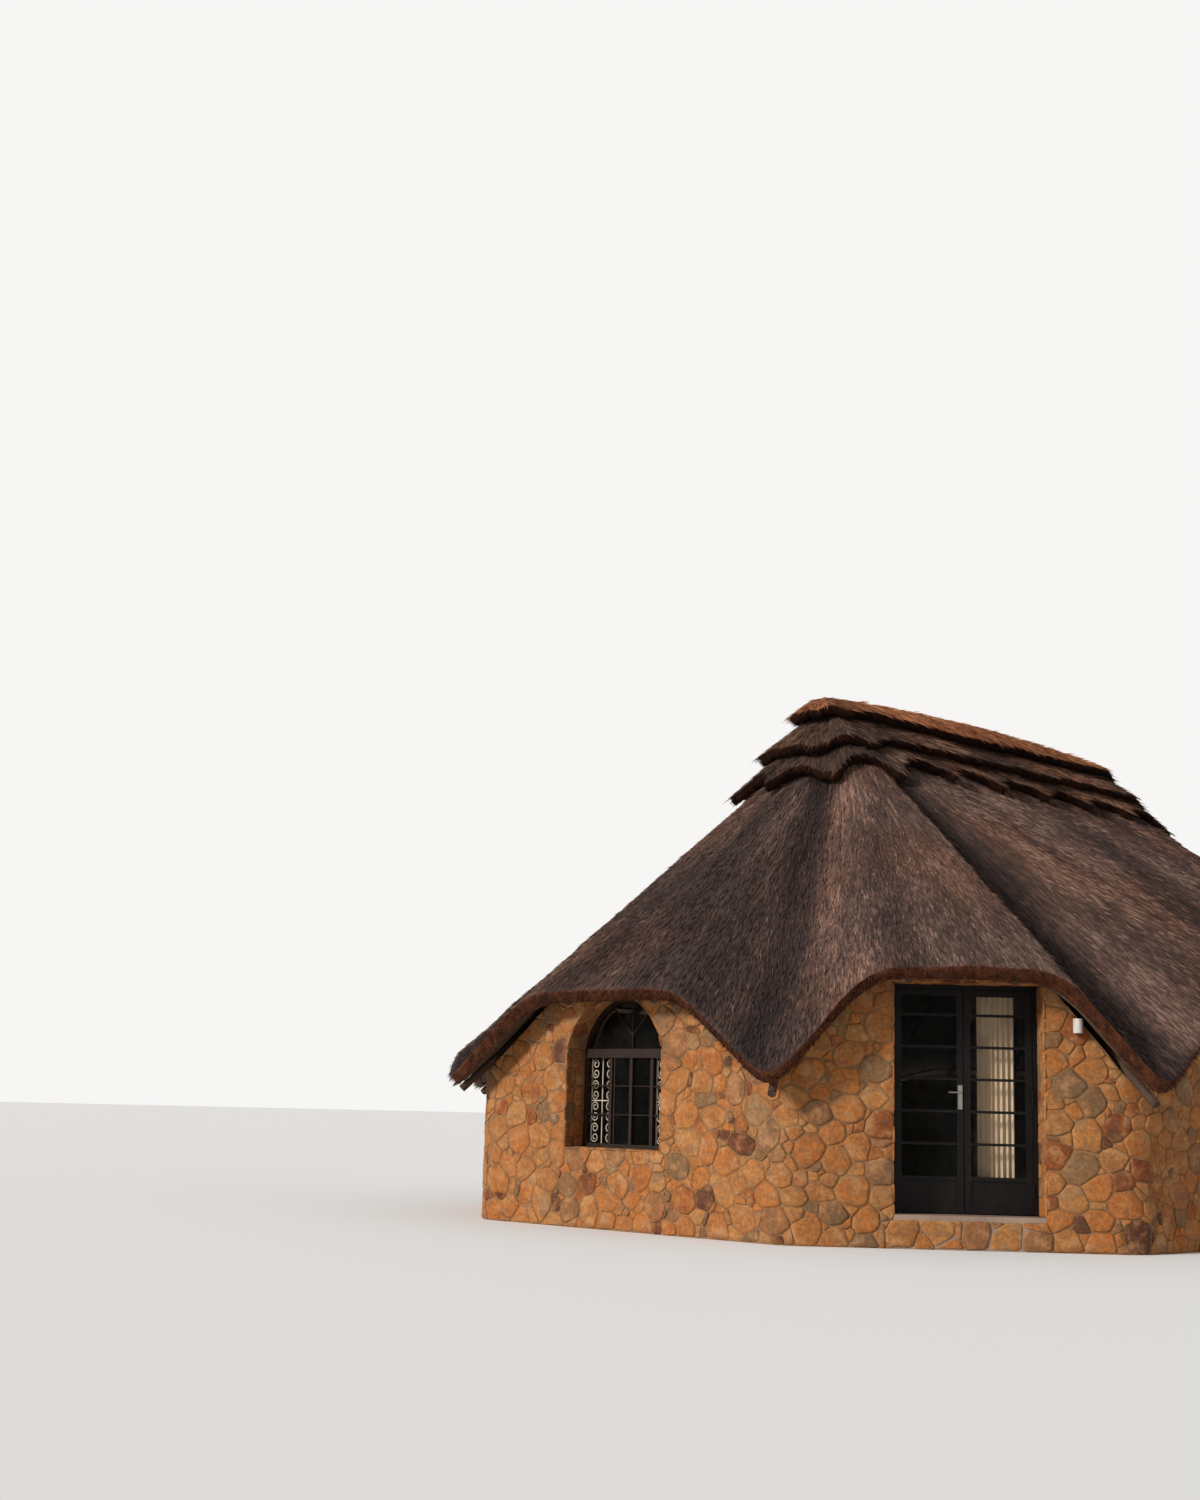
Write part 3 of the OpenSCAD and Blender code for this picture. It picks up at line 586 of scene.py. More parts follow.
capSet = {"perWave": 20, "rows": 12, "smooth": 19, "thick": 0.092, "ragged": 0.012,
    "lumps": (0.014, 3.0, 0.008, 9.0), "bare": 0.34, "inset": 0.02, "rise": 0.07, "layers": [
    {"name": "ridgeCapLower", "node": "ridge_cap_lower", "reach": 1.28, "waves": 20,
        "bite": 0.33, "crown": 0.0, "up": 0.03, "peak": 0.092, "round": 0.05, "near": 0.1},
    {"name": "ridgeCapMiddle", "node": "ridge_cap_middle", "reach": 0.83, "waves": 11,
        "bite": 0.05, "crown": 0.0, "up": 0.138, "peak": 0.177, "round": 0.05, "near": 0.19},
    {"name": "ridgeCapTop", "node": "ridge_cap_top", "reach": 0.45, "waves": 9,
        "bite": 0.06, "crown": 0.09, "up": 0.24, "peak": 0.2606, "round": 0.16, "near": 0.28}]}
capBed = {"density": 700.0, "length": 0.12, "thick": 0.0062, "lift": 0.10, "seed": 14}
capFringe = {"density": 2400.0, "length": 0.06, "thick": 0.0042, "lift": 0.0, "seed": 19}
capCount = capSet["perWave"] * capSet["layers"][0]["waves"]


def capRule(foot, d):  # the same line that the thatch below lies on
    def reachOf(i):
        facing = d.dot(outward[i])
        if facing < 0.01:
            return 1e9
        return ((sideMiddle(i) - foot).dot(outward[i]) + roof["overhang"]) / facing
    run, i = min((round(reachOf(i), 6), i) for i in range(8))
    p = foot + run * d
    return foot, d, run, eaveHeight(i, (p - sideMiddle(i)).dot(along[i]))


def capPlace(s, reach):
    bow, l = pi * reach, roof["ridgeLength"]
    t = s * (2 * l + 2 * bow)
    near, far = Vector((-ridgeHalf, 0)), Vector((ridgeHalf, 0))
    if t < bow / 2:
        return capRule(near, heading(180 + 180 * t / bow))
    if t < bow / 2 + l:
        return capRule(Vector((t - bow / 2 - ridgeHalf, 0)), Vector((0, -1)))
    if t < bow * 1.5 + l:
        return capRule(far, heading(-90 + 180 * (t - bow / 2 - l) / bow))
    if t < bow * 1.5 + 2 * l:
        return capRule(Vector((ridgeHalf - (t - bow * 1.5 - l), 0)), Vector((0, 1)))
    return capRule(near, heading(90 + 180 * (t - bow * 1.5 - 2 * l) / bow))


capRules = [capPlace((k + 0.5) / capCount, capSet["layers"][0]["reach"]) for k in range(capCount)]
capFeet = np.array([tuple(r[0]) for r in capRules])
capAims = np.array([tuple(r[1]) for r in capRules])
capSlope = ringSmooth(np.array([(r[3] - ridgeTop) / (r[2] - roof["gap"]) for r in capRules]),
    capSet["smooth"])


def capPoints(layer, run, z):  # stretched a little toward the near end, as in the photo
    feet = capFeet.copy()
    feet[:, 0] -= layer["near"] * (ridgeHalf - feet[:, 0]) / (2 * ridgeHalf)
    return np.concatenate([feet + capAims * run[:, None], z[:, None]], axis=1)


def capTop(layer, run, reach):  # height of the layer's upper face along its lines
    crown = ridgeTop + layer["peak"] + layer["crown"] * (1 - (capFeet[:, 0] / ridgeHalf) ** 2)
    edge = ridgeTop + layer["up"] + capSet["thick"] + capSlope * (reach - roof["gap"])
    c = layer["round"]
    share = (np.sqrt(run ** 2 + c * c) - c) / (np.sqrt(reach ** 2 + c * c) - c)
    return crown - (crown - edge) * share


def makeCap(layer, material):
    rows, thick = capSet["rows"], capSet["thick"]
    q = layer["waves"] * (np.arange(capCount) + 0.5) / capCount
    wave = 2 * (q - np.floor(q)) - 1
    picker = random.Random(layer["waves"] + rows)
    ragged = ringSmooth(np.array([picker.uniform(-1, 1) for _ in range(capCount)]), 1)
    reach = (layer["reach"] - layer["bite"] * np.sqrt(1 - wave ** 2)
        - capSet["ragged"] * (1 + ragged))
    top = np.stack([capPoints(layer, reach * t, capTop(layer, reach * t, reach))
        for t in np.linspace(0, 1, rows)], axis=1)
    fall = unit(np.gradient(top, axis=1))
    side = np.roll(top, -1, 0) - np.roll(top, 1, 0)
    normal = unit(np.cross(side, fall) + np.array([0, 0, 1e-6]))
    normal *= np.where(normal[..., 2:3] < 0, -1, 1)
    rough = roughness(top, normal, *capSet["lumps"])
    rough[:, 0] = top[:, 0]
    edgeZ = rough[:, -1, 2]
    middle = capPoints(layer, reach - 0.014, edgeZ - thick * 0.55)  # the cut edge leans in
    low = capPoints(layer, reach - 0.06, edgeZ - thick)
    foot = capPoints(layer, reach * 0, ridgeTop + layer["peak"] - capSet["rise"] + 0 * reach)
    ring = np.concatenate([rough, middle[:, None], low[:, None], foot[:, None]], axis=1)
    total = ring.shape[1]
    turn = (np.arange(capCount) + 0.5) / capCount * 2 * pi
    around = (roof["ridgeLength"] * 2 + 2 * pi * layer["reach"]) / (2 * pi)
    down = reach[:, None] * np.linspace(0, 1, rows)[None] * 1.25
    straw = np.stack([np.repeat((around * np.cos(turn))[:, None], rows, 1),
        np.repeat((around * np.sin(turn))[:, None], rows, 1), down + layer["up"] * 40], axis=-1)
    width = np.minimum(np.linalg.norm(side, axis=-1) / np.linalg.norm(side[:, -1:], axis=-1), 1)
    mesh = meshOf(layer["name"], ring, loopFaces(capCount, total), {
        "straw": np.concatenate([straw, np.repeat(straw[:, -1:], 3, 1)], 1),
        "fan": np.concatenate([width, np.ones((capCount, 3))], 1),
        "valley": np.zeros(capCount * total), "tuft": np.zeros(capCount * total)})
    mesh.materials.append(material)
    mesh.materials.append(capCutShadowFinish)
    rowOf = np.tile(np.arange(total - 1), capCount)
    mesh.polygons.foreach_set("material_index", (rowOf >= rows - 1).astype(int))
    build = bmesh.new()
    build.from_mesh(mesh)
    bmesh.ops.remove_doubles(build, verts=build.verts, dist=0.0005)
    bmesh.ops.recalc_face_normals(build, faces=build.faces)
    build.to_mesh(mesh)
    build.free()
    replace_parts(linkPiece(layer["name"], mesh), layer["node"])
    first = int(rows * capSet["bare"]) if layer["crown"] == 0 else 1  # a layer above hides the rest
    strawBed(layer["name"] + "Straw", rough[:, first:], {
        "fall": fall[:, first:], "straw": straw[:, first:], "fan": width[:, first:],
        "valley": np.zeros(capCount * (rows - first))},
        loopFaces(capCount, rows - first), material, capBed)
    band = np.stack([rough[:, -1], middle, low], axis=1) - fall[:, -1:] * capSet["inset"]
    strawBed(layer["name"] + "Fringe", band, {"fall": np.repeat(fall[:, -1:], 3, 1)},
        loopFaces(capCount, 3), capCutShadowFinish, capFringe)


for layer, material in zip(capSet["layers"], (capFinish, capFinish, sunlitCrownFinish)):
    makeCap(layer, material)
print("ridge cap made")


# walls: rubble stones in mortar, laid out on the unrolled outside of the building

stone = {"joint": 0.007, "small": 0.032, "large": 0.15, "spread": 2.3, "apart": 0.86,
    "flatter": 1.12, "proud": (0.003, 0.017), "sunk": 0.012, "uneven": 0.011, "jitter": 0.008,
    "least": 0.0012, "seed": 21, "tries": 60000, "topRoom": 0.10, "room": 0.045,
    "steps": ((0.6, 0.965), (0.32, 0.84), (0.08, 0.5)), "drift": 0.04, "under": 0.03,
    "above": 0.006, "neighbours": 40, "reach": 0.9, "half": 0.36, "short": 0.012,
    "corners": (0.13, 0.87), "bendWithin": 0.3, "bendScale": 2.3, "bend": (0.085, 0.07)}
door = {"x": 0.067, "width": 1.37, "sill": 0.0, "height": 2.1, "recess": 0.3, "step": 0.045}
arch = {"x": -0.16, "width": 1.34, "sill": 0.48, "spring": 1.47, "rise": 0.53, "recess": 0.25}
ribbon = {"x": -1.066, "width": 1.9, "sill": 1.35, "height": 0.43, "recess": 0.25}
arch["height"] = arch["spring"] - arch["sill"]  # of its upright sides
for hole in (door, arch, ribbon):
    hole["half"], hole["low"] = hole["width"] / 2, hut["floor"] + hole["sill"]
    hole["high"] = hole["low"] + hole["height"]
arch["high"] = hut["floor"] + arch["spring"]
archRadius = (arch["half"] ** 2 + arch["rise"] ** 2) / (2 * arch["rise"])
archMiddle = hut["floor"] + arch["spring"] + arch["rise"] - archRadius
archOpen = asin(arch["half"] / archRadius)


def straightHalf(i):
    return sideLength[i] / 2 - hut["corner"] * lean


cornerLength = hut["corner"] * pi / 4
sideStart = [sum(2 * straightHalf(j) + cornerLength for j in range(i)) for i in range(9)]
wallRound = sideStart[8]


def wallFace(u):  # the point and its outward direction, u metres round the outside
    u = float(u) % wallRound
    i = max(j for j in range(8) if sideStart[j] <= u)
    x = u - sideStart[i] - straightHalf(i)
    if x <= straightHalf(i):
        return sideMiddle(i) + x * along[i], outward[i]
    a = (x - straightHalf(i)) / hut["corner"]
    n = cos(a) * outward[i] + sin(a) * along[i]
    middle = sideMiddle(i) + straightHalf(i) * along[i] - hut["corner"] * outward[i]
    return middle + hut["corner"] * n, n


def wallTopLine():
    found = []
    for i in range(8):
        for x in np.linspace(-eaveHalf(i) + 0.02, eaveHalf(i) - 0.02, 41).tolist():
            rule = strawRule(i, x)
            run = -(rule[0] - sideMiddle(i)).dot(outward[i]) / rule[1].dot(outward[i])
            local = (rule[0] + run * rule[1] - sideMiddle(i)).dot(along[i])
            half = sideLength[i] / 2
            if abs(local) < half:
                share = local / half * (straightHalf(i) + cornerLength / 2)
                found.append((sideStart[i] + straightHalf(i) + share,
                    underHeight(rule, run) - stone["topRoom"]))
    found.sort()
    return np.array(found)


topLine = wallTopLine()


def wallTop(u):
    return float(np.interp(u, topLine[:, 0], topLine[:, 1], period=wallRound))


def onSide(i, x):
    return sideStart[i] + straightHalf(i) + x


openings = [(hole, onSide(i, hole["x"]))
    for i, hole in ((1, door), (0, arch), (4, arch), (2, ribbon), (6, ribbon))]


def openingEdge(opening, u, z):  # how far out of the opening, and the edge line to cut along
    hole, at = opening
    du, low = u - at, hole["low"] - hole.get("step", 0)
    edges = [(s * du - hole["half"], (-s, 0), -s * at - hole["half"]) for s in (-1, 1)]
    edges.append((low - z, (0, 1), low))
    if hole is not arch:
        edges.append((z - hole["high"], (0, -1), -hole["high"]))
    elif z > archMiddle:
        away = hypot(du, z - archMiddle)
        n = (-du / away, -(z - archMiddle) / away)
        edges.append((away - archRadius, n, n[0] * at + n[1] * archMiddle - archRadius))
    return max(edges, key=lambda e: e[0])


def clip(shape, n, limit):  # keeps the side of a line where n . p <= limit
    kept, count = [], len(shape)
    for k in range(count):
        a, b = shape[k], shape[(k + 1) % count]
        da, db = n[0] * a[0] + n[1] * a[1] - limit, n[0] * b[0] + n[1] * b[1] - limit
        if da <= 0:
            kept.append(a)
        if (da < 0 < db) or (db < 0 < da):
            t = da / (da - db)
            kept.append((a[0] + (b[0] - a[0]) * t, a[1] + (b[1] - a[1]) * t))
    return kept


def scatter(width, high, sizes, allowed, picker, wrap):  # stones that don't crowd each other
    small, large, tries = (sizes[key] for key in ("small", "large", "tries"))
    wanted = sorted((small + (large - small) * picker.random() ** stone["spread"]
        for _ in range(tries)), reverse=True)
    places = np.zeros((tries, 3))
    count = 0
    for r in wanted:
        u, z = picker.uniform(0, width), picker.uniform(0.0, high)
        if count:
            du = np.abs(places[:count, 0] - u)
            du = np.minimum(du, width - du) if wrap else du
            dz = (places[:count, 1] - z) * stone["flatter"]
            if np.any(du * du + dz * dz < (stone["apart"] * (places[:count, 2] + r)) ** 2):
                continue
        if allowed(u, z):
            places[count] = u, z, r
            count += 1
    return places[:count]


def cells(places, width, wrap, trim, picker):  # one rounded outline a stone
    tall, jitter, outlines = stone["flatter"], stone["jitter"], []
    for u, z, r in places:
        du = places[:, 0] - u
        if wrap:
            du = (du + width / 2) % width - width / 2
        dz = (places[:, 1] - z) * tall
        far = np.hypot(du, dz)
        near = [k for k in np.argsort(far)[1:stone["neighbours"]] if far[k] < stone["reach"]]
        shape = [(x * stone["half"], y * stone["half"]) for x, y in square]
        for k in near:
            n = (du[k] / far[k], dz[k] / far[k])
            middle = (far[k] + (r * r - places[k, 2] ** 2) / far[k]) / 2
            shape = clip(shape, n, middle - stone["joint"] / 2)
            if len(shape) < 3:
                break
        shape = [(u + a, z + b / tall) for a, b in shape]
        shape = trim(shape, u, z)
        if len(shape) < 3:
            continue
        shape = [(a + picker.uniform(-jitter, jitter), b + picker.uniform(-jitter, jitter))
            for a, b in shape]
        soft = []
        for k in range(len(shape)):  # takes the corners off
            a, b = shape[k], shape[(k + 1) % len(shape)]
            if hypot(b[0] - a[0], b[1] - a[1]) < stone["short"]:
                soft.append(((a[0] + b[0]) / 2, (a[1] + b[1]) / 2))
            else:
                soft += [(a[0] + (b[0] - a[0]) * t, a[1] + (b[1] - a[1]) * t)
                    for t in stone["corners"]]
        area = 0.5 * abs(sum(soft[k - 1][0] * soft[k][1] - soft[k][0] * soft[k - 1][1]
            for k in range(len(soft))))
        if area > stone["least"] and len(soft) > 3:
            outlines.append((u, z, soft))
    return outlines


def wallAllowed(u, z):
    return stone["room"] < z < wallTop(u) - stone["under"] and all(
        openingEdge(opening, u, z)[0] > stone["room"] for opening in openings)


def wallTrim(shape, u, z):
    shape = clip(shape, (0, -1), -stone["above"])
    slope = (wallTop(u + 0.05) - wallTop(u - 0.05)) / 0.1
    shape = clip(shape, (-slope, 1), wallTop(u) - slope * u) if shape else shape
    for opening in openings:
        out, n, limit = openingEdge(opening, u, z)
        if out < 0.5 and shape:
            shape = clip(shape, n, limit) if out >= 0 else []
    return shape


def raiseCells(wire, given):
    proud = wire.geo("InputNamedAttribute", {"Name": "proud"}, "Attribute")
    mesh, top, sunk = given["Geometry"], {}, given["Sunk"]
    for share, scale in stone["steps"]:
        height = proud * share + sunk if sunk else proud * share
        mesh = wire.geo("ExtrudeMesh", {"Mesh": mesh, "Offset Scale": height, "Individual": True,
            **top})
        top, sunk = {"Selection": mesh.also("Top")}, None
        mesh = wire.geo("ScaleElements", {"Geometry": mesh, "Scale": scale, **top})
    back = wire.geo("FlipFaces", {"Mesh": given["Geometry"]})
    both = wire.geo("JoinGeometry", {"Geometry": [mesh, back]})
    whole = wire.geo("MergeByDistance", {"Geometry": both, "Distance": 0.00002})
    wobble = wire.node("ShaderNodeTexNoise", {"Vector": wire.geo("InputPosition"), "Scale": 11.0,
        "Detail": 2.0}, "Color")
    shift = wobble.vector("SUBTRACT", (0.5, 0.5, 0.5)).vector("SCALE", given["Uneven"], "Scale")
    return wire.geo("SetPosition", {"Geometry": whole, "Offset": shift})


stonesRaised = geometryTree(raiseCells, Sunk="Float", Uneven="Float")
stoneTones = (0.02, 0.1, 0.2, 0.3, 0.34, 0.38, 0.42, 0.46, 0.5, 0.54, 0.58, 0.62, 0.66, 0.7, 0.8,
    0.88, 0.96)


def buildStone(wire):
    where = place(wire)
    broad, fine = where.grain(7.0, 4.0, 0.62), where.grain(26.0, 5.0, 0.75)
    speck = where.grain(90.0, 3.0, 0.65)
    veins = where.stretch(1, 1, 2.2).grain(7.0, 4.0, 0.65)
    tone = (attribute(wire, "tone") + (broad - 0.5) * 0.5).ramp((0.0, (0.115, 0.046, 0.021)),
        (0.1, (0.25, 0.074, 0.022)), (0.2, (0.37, 0.133, 0.035)), (0.36, (0.46, 0.172, 0.043)),
        (0.5, (0.37, 0.158, 0.05)), (0.62, (0.48, 0.215, 0.066)), (0.74, (0.27, 0.144, 0.061)),
        (0.86, (0.2, 0.12, 0.06)), (1.0, (0.37, 0.15, 0.052)))
    tone = (fine.between(0.3, 0.66) * 0.85).mix(tone, (0.56, 0.5, 0.44), "MULTIPLY")
    tone = (broad.between(0.48, 0.7) * 0.5).mix(tone, (0.40, 0.25, 0.125))
    tone = (veins.between(0.48, 0.7) * 0.55).mix(tone, (0.16, 0.088, 0.046))
    tone = (speck.between(0.5, 0.7) * 0.6).mix(tone, (0.42, 0.34, 0.28), "MULTIPLY")
    tone = (attribute(wire, "warm") * 0.5).mix(tone, (1.0, 0.80, 0.6), "MULTIPLY")
    return {"Base Color": tone, "Roughness": fine.between(0.2, 0.8, 0.82, 0.96),
        "Normal": (broad * 0.5 + fine * 0.35 + speck * 0.15).bump(0.9, 0.02)}


def buildMortar(wire):
    broad, grit = place(wire).grain(6.0, 5.0, 0.7), place(wire).grain(70.0, 4.0, 0.7)
    tone = (broad * 0.65 + grit * 0.35).ramp((0.3, (0.085, 0.044, 0.022)),
        (0.5, (0.23, 0.118, 0.05)), (0.7, (0.36, 0.185, 0.078)))
    return {"Base Color": tone, "Normal": grit.bump(0.8, 0.006)}


stoneFinish = finish("rubbleStone", {"Specular IOR Level": 0.25}, buildStone)
mortarFinish = finish("sandyMortar", {"Roughness": 0.95, "Specular IOR Level": 0.2}, buildMortar)


def raiseStones(name, outlines, lay, proudTo, seed):  # raised flat, then laid on the wall
    picker = random.Random(seed)
    points, faces, looks = [], [], []
    for u, z, shape in outlines:
        faces.append(list(range(len(points), len(points) + len(shape))))
        points += [(a, b, 0) for a, b in shape]
        tone = picker.choice(stoneTones) + picker.uniform(-stone["drift"], stone["drift"])
        looks += [(tone, picker.uniform(*proudTo), picker.random())] * len(shape)
    mesh = meshOf(name, points, faces, dict(zip(("tone", "proud", "warm"), zip(*looks))))
    piece = grow(name, mesh, stonesRaised, {"Sunk": stone["sunk"], "Uneven": stone["uneven"],
        "Material": stoneFinish})
    flat = np.empty(len(piece.data.vertices) * 3)
    piece.data.vertices.foreach_get("co", flat)
    laid = np.array([lay(a, b, h - stone["sunk"]) for a, b, h in flat.reshape(-1, 3).tolist()])
    laid[:, 2] = np.maximum(laid[:, 2], 0.001)
    piece.data.vertices.foreach_set("co", laid.ravel())
    piece.data.update()


def bent(u, z):  # shifts a joint's corner so that no two stones look alike
    room = min(z, wallTop(u) - z, *(openingEdge(opening, u, z)[0] for opening in openings))
    away = max(0.0, min(room / stone["bendWithin"], 1.0))
    at = Vector((u * stone["bendScale"], z * stone["bendScale"], 0))
    return (u + stone["bend"][0] * away * noise.noise(at + Vector((0, 0, 4))),
        z + stone["bend"][1] * away * noise.noise(at + Vector((0, 0, 9))))


def layOnWall(u, z, h):
    p, n = wallFace(u)
    return p.x + n.x * h, p.y + n.y * h, z


def makeWallStones():
    picker = random.Random(stone["seed"])
    places = scatter(wallRound, float(topLine[:, 1].max()), stone, wallAllowed, picker, True)
    outlines = [(u, z, [bent(a, b) for a, b in shape])
        for u, z, shape in cells(places, wallRound, True, wallTrim, picker)]
    for i in range(8):
        first = sideStart[i] - cornerLength / 2
        held = [o for o in outlines if 0 <= (o[0] - first) % wallRound
            < 2 * straightHalf(i) + cornerLength]
        raiseStones("wallStones" + str(i + 1), held, layOnWall, stone["proud"], 30 + i)
    return len(outlines)


print("wall stones:", makeWallStones())


def inWall(i, x, depth, z):  # a place by a wall's own middle, depth and height
    p = sideMiddle(i) + x * along[i] - depth * outward[i]
    return p.x, p.y, z


reveal = {"small": 0.045, "large": 0.10, "proud": (0.003, 0.010), "tries": 2500, "over": 0.012,
    "room": 0.03, "short": 0.004, "back": 0.005}


def revealPatch(name, i, start, facing, length, depth, seed):
    across = (facing[1], -facing[0])

    def lay(a, b, h):
        if facing == (0, 0):  # under the arch
            turn = archOpen - a / archRadius
            r = archRadius - h
            return inWall(i, arch["x"] + r * sin(turn), b, archMiddle + r * cos(turn))
        return inWall(i, start[0] + across[0] * a + facing[0] * h, b,
            start[1] + across[1] * a + facing[1] * h)

    def allowed(a, b):
        room = reveal["room"]
        return room < a < length - room and room < b < depth - room

    def trim(shape, a, b):
        short = reveal["short"]
        for n, limit in (((-1, 0), -short), ((1, 0), length - short), ((0, -1), 0.0),
                ((0, 1), depth + reveal["over"] - short)):
            shape = clip(shape, n, limit) if shape else shape
        return shape

    picker = random.Random(seed)
    places = scatter(length, depth, reveal, allowed, picker, False)
    outlines = cells(places, length, False, trim, picker)
    raiseStones(name, outlines, lambda a, b, h: lay(a, b - reveal["over"], h),
        reveal["proud"], seed)


def makeReveals():
    jambs, arched = ("JambLeft", "JambRight"), (0, 0)
    for i, label, hole, seed, names in ((1, "door", door, 61, (*jambs, "Head")),
            (0, "end", arch, 70, (*jambs, "Sill", "ArchStones")),
            (4, "far", arch, 74, (*jambs, "Sill", "ArchStones")),
            (2, "frontRibbon", ribbon, 82, ("Left", "Right", "Sill", "Head")),
            (6, "backRibbon", ribbon, 86, ("Left", "Right", "Sill", "Head"))):
        left, right, low, high = (hole["x"] - hole["half"], hole["x"] + hole["half"],
            hole["low"], hole["high"])
        patches = [((left, high), (1, 0), hole["height"]), ((right, low), (-1, 0), hole["height"]),
            ((left, low), (0, 1), hole["width"])][:len(names) - 1]
        patches.append((None, arched, 2 * archOpen * archRadius) if hole is arch
            else ((right, high), (0, -1), hole["width"]))
        for k, (part, patch) in enumerate(zip(names, patches)):
            revealPatch(label + part, i, *patch, hole["recess"] - reveal["back"], seed + k)


makeReveals()
print("stones of the reveals laid")


# plain finishes of the solids that stay as they are

def dress(material, *endings):
    for name, node in cad.items():
        if name.endswith(endings):
            node.data.materials.clear()
            node.data.materials.append(material)


def buildScreed(wire):
    broad, grit = place(wire).grain(1.6, 4.0, 0.6), place(wire).grain(90.0, 3.0, 0.7)
    tone = (broad * 0.75 + grit * 0.25).ramp((0.3, (0.20, 0.13, 0.095)),
        (0.55, (0.31, 0.215, 0.155)), (0.8, (0.42, 0.31, 0.235)))
    return {"Base Color": tone, "Roughness": broad.between(0.3, 0.7, 0.7, 0.9),
        "Normal": (grit * 0.5 + broad * 0.5).bump(0.4, 0.006)}


def paintFinish(name, settings):
    def build(wire):
        where = place(wire)
        streak = where.stretch(1, 1, 0.25).grain(16.0, 4.0, 0.65)
        dust, fine = where.grain(5.0, 4.0, 0.6), where.grain(260.0, 2.0, 0.5)
        tone = (streak.between(0.4, 0.68) * 0.6).mix(settings["paint"], settings["faded"])
        tone = (dust.between(0.54, 0.76) * settings["dust"]).mix(tone, settings["dusty"])
        rough = (streak * 0.6 + dust * 0.4).between(0.3, 0.7, *settings["rough"])
        return {"Base Color": tone, "Roughness": rough,
            "Normal": (fine * 0.4 + streak * 0.6).bump(0.14, 0.001)}
    return finish(name, {"Specular IOR Level": settings["shine"]}, build)


steelPaint = paintFinish("blackDoorPaint", {"paint": (0.0035, 0.0026, 0.0022), "dust": 0.25,
    "faded": (0.008, 0.0052, 0.0038), "dusty": (0.026, 0.015, 0.009), "rough": (0.42, 0.66),
    "shine": 0.16})
windowPaint = paintFinish("brownWindowPaint", {"paint": (0.0135, 0.0058, 0.0035), "dust": 0.35,
    "faded": (0.026, 0.0115, 0.0068), "dusty": (0.06, 0.032, 0.018), "rough": (0.45, 0.7),
    "shine": 0.2})
guardPaint = paintFinish("whiteGuardPaint", {"paint": (0.84, 0.72, 0.56), "dust": 0.3,
    "faded": (0.6, 0.46, 0.31), "dusty": (0.34, 0.2, 0.11), "rough": (0.45, 0.7), "shine": 0.4})
railPaint = paintFinish("blackRailPaint", {"paint": (0.014, 0.013, 0.013), "dust": 0.3,
    "faded": (0.03, 0.027, 0.025), "dusty": (0.07, 0.055, 0.045), "rough": (0.35, 0.55),
    "shine": 0.45})
lampShell = paintFinish("whiteLampShell", {"paint": (0.46, 0.41, 0.35), "dust": 0.4,
    "faded": (0.66, 0.61, 0.54), "dusty": (0.42, 0.34, 0.26), "rough": (0.4, 0.6), "shine": 0.5})


def buildSteel(wire):
    brushed = place(wire).stretch(1, 1, 9.0).grain(120.0, 3.0, 0.6)
    touch = place(wire).grain(28.0, 3.0, 0.6).between(0.45, 0.72) * 0.5
    return {"Base Color": touch.mix((0.30, 0.275, 0.24), (0.19, 0.165, 0.135)),
        "Roughness": brushed.between(0.3, 0.7, 0.26, 0.44), "Normal": brushed.bump(0.12, 0.0006)}


def buildPole(wire):
    bark = place(wire).stretch(1, 1, 2.2).grain(18.0, 5.0, 0.7)
    tone = (bark * 0.6 + place(wire).grain(4.5, 3.0, 0.6) * 0.4).ramp(
        (0.25, (0.018, 0.010, 0.006)), (0.5, (0.055, 0.030, 0.017)), (0.78, (0.125, 0.072, 0.040)))
    return {"Base Color": tone, "Normal": bark.bump(0.55, 0.008)}


def buildGlass(wire):
    film, specks = place(wire).grain(2.4, 4.0, 0.6), place(wire).grain(60.0, 3.0, 0.65)
    dust = film.between(0.42, 0.78) * 0.6 + specks.between(0.6, 0.8) * 0.3
    return {"Base Color": dust.mix((0.006, 0.008, 0.008), (0.05, 0.042, 0.034)),
        "Roughness": dust * 0.14 + 0.03, "Alpha": dust * 0.16 + 0.09}


screedFinish = finish("wornScreed", {"Specular IOR Level": 0.35}, buildScreed)
handleSteel = finish("brushedHandleSteel", {"Metallic": 1.0}, buildSteel)
poleFinish = finish("darkPoles", {"Roughness": 0.82, "Specular IOR Level": 0.3}, buildPole)
glassFinish = finish("dustyGlass", {"IOR": 1.45, "Specular IOR Level": 0.22}, buildGlass)

dress(mortarFinish, "_wall", "wall_left", "wall_right", "wall_over")
dress(screedFinish, "floor_slab", "door_sill")
dress(steelPaint, "door_frame", "door_leaf")
dress(windowPaint, "window_frame", "ribbon_frame")
dress(glassFinish, "_glass")
dress(handleSteel, "door_handle")
dress(poleFinish, "rafters", "ridge_pole")
dress(railPaint, "curtain_rail")
dress(lampShell, "wall_lamp")
print("solids dressed")


# bars: window bars, scroll guards and battens are rods along lines

def bendRods(wire, given):
    route = wire.geo("MeshToCurve", {"Mesh": given["Geometry"]})
    ring = wire.geo("CurvePrimitiveCircle", {"Resolution": given["Sides"],
        "Radius": given["Radius"]}, mode="RADIUS")
    return wire.geo("CurveToMesh", {"Curve": route, "Profile Curve": ring, "Fill Caps": True})


rodsBent = geometryTree(bendRods, Radius="Float", Sides="Int")


def layRods(name, lines, radius, sides, material, smooth=True):
    points, edges = [], []
    for line in lines:
        first = len(points)
        points += line
        edges += [(first + k, first + k + 1) for k in range(len(line) - 1)]
    mesh = bpy.data.meshes.new(name + "Lines")
    mesh.from_pydata([tuple(p) for p in points], edges, [])
    return grow(name, mesh, rodsBent, {"Radius": radius, "Sides": sides, "Material": material},
        smooth)


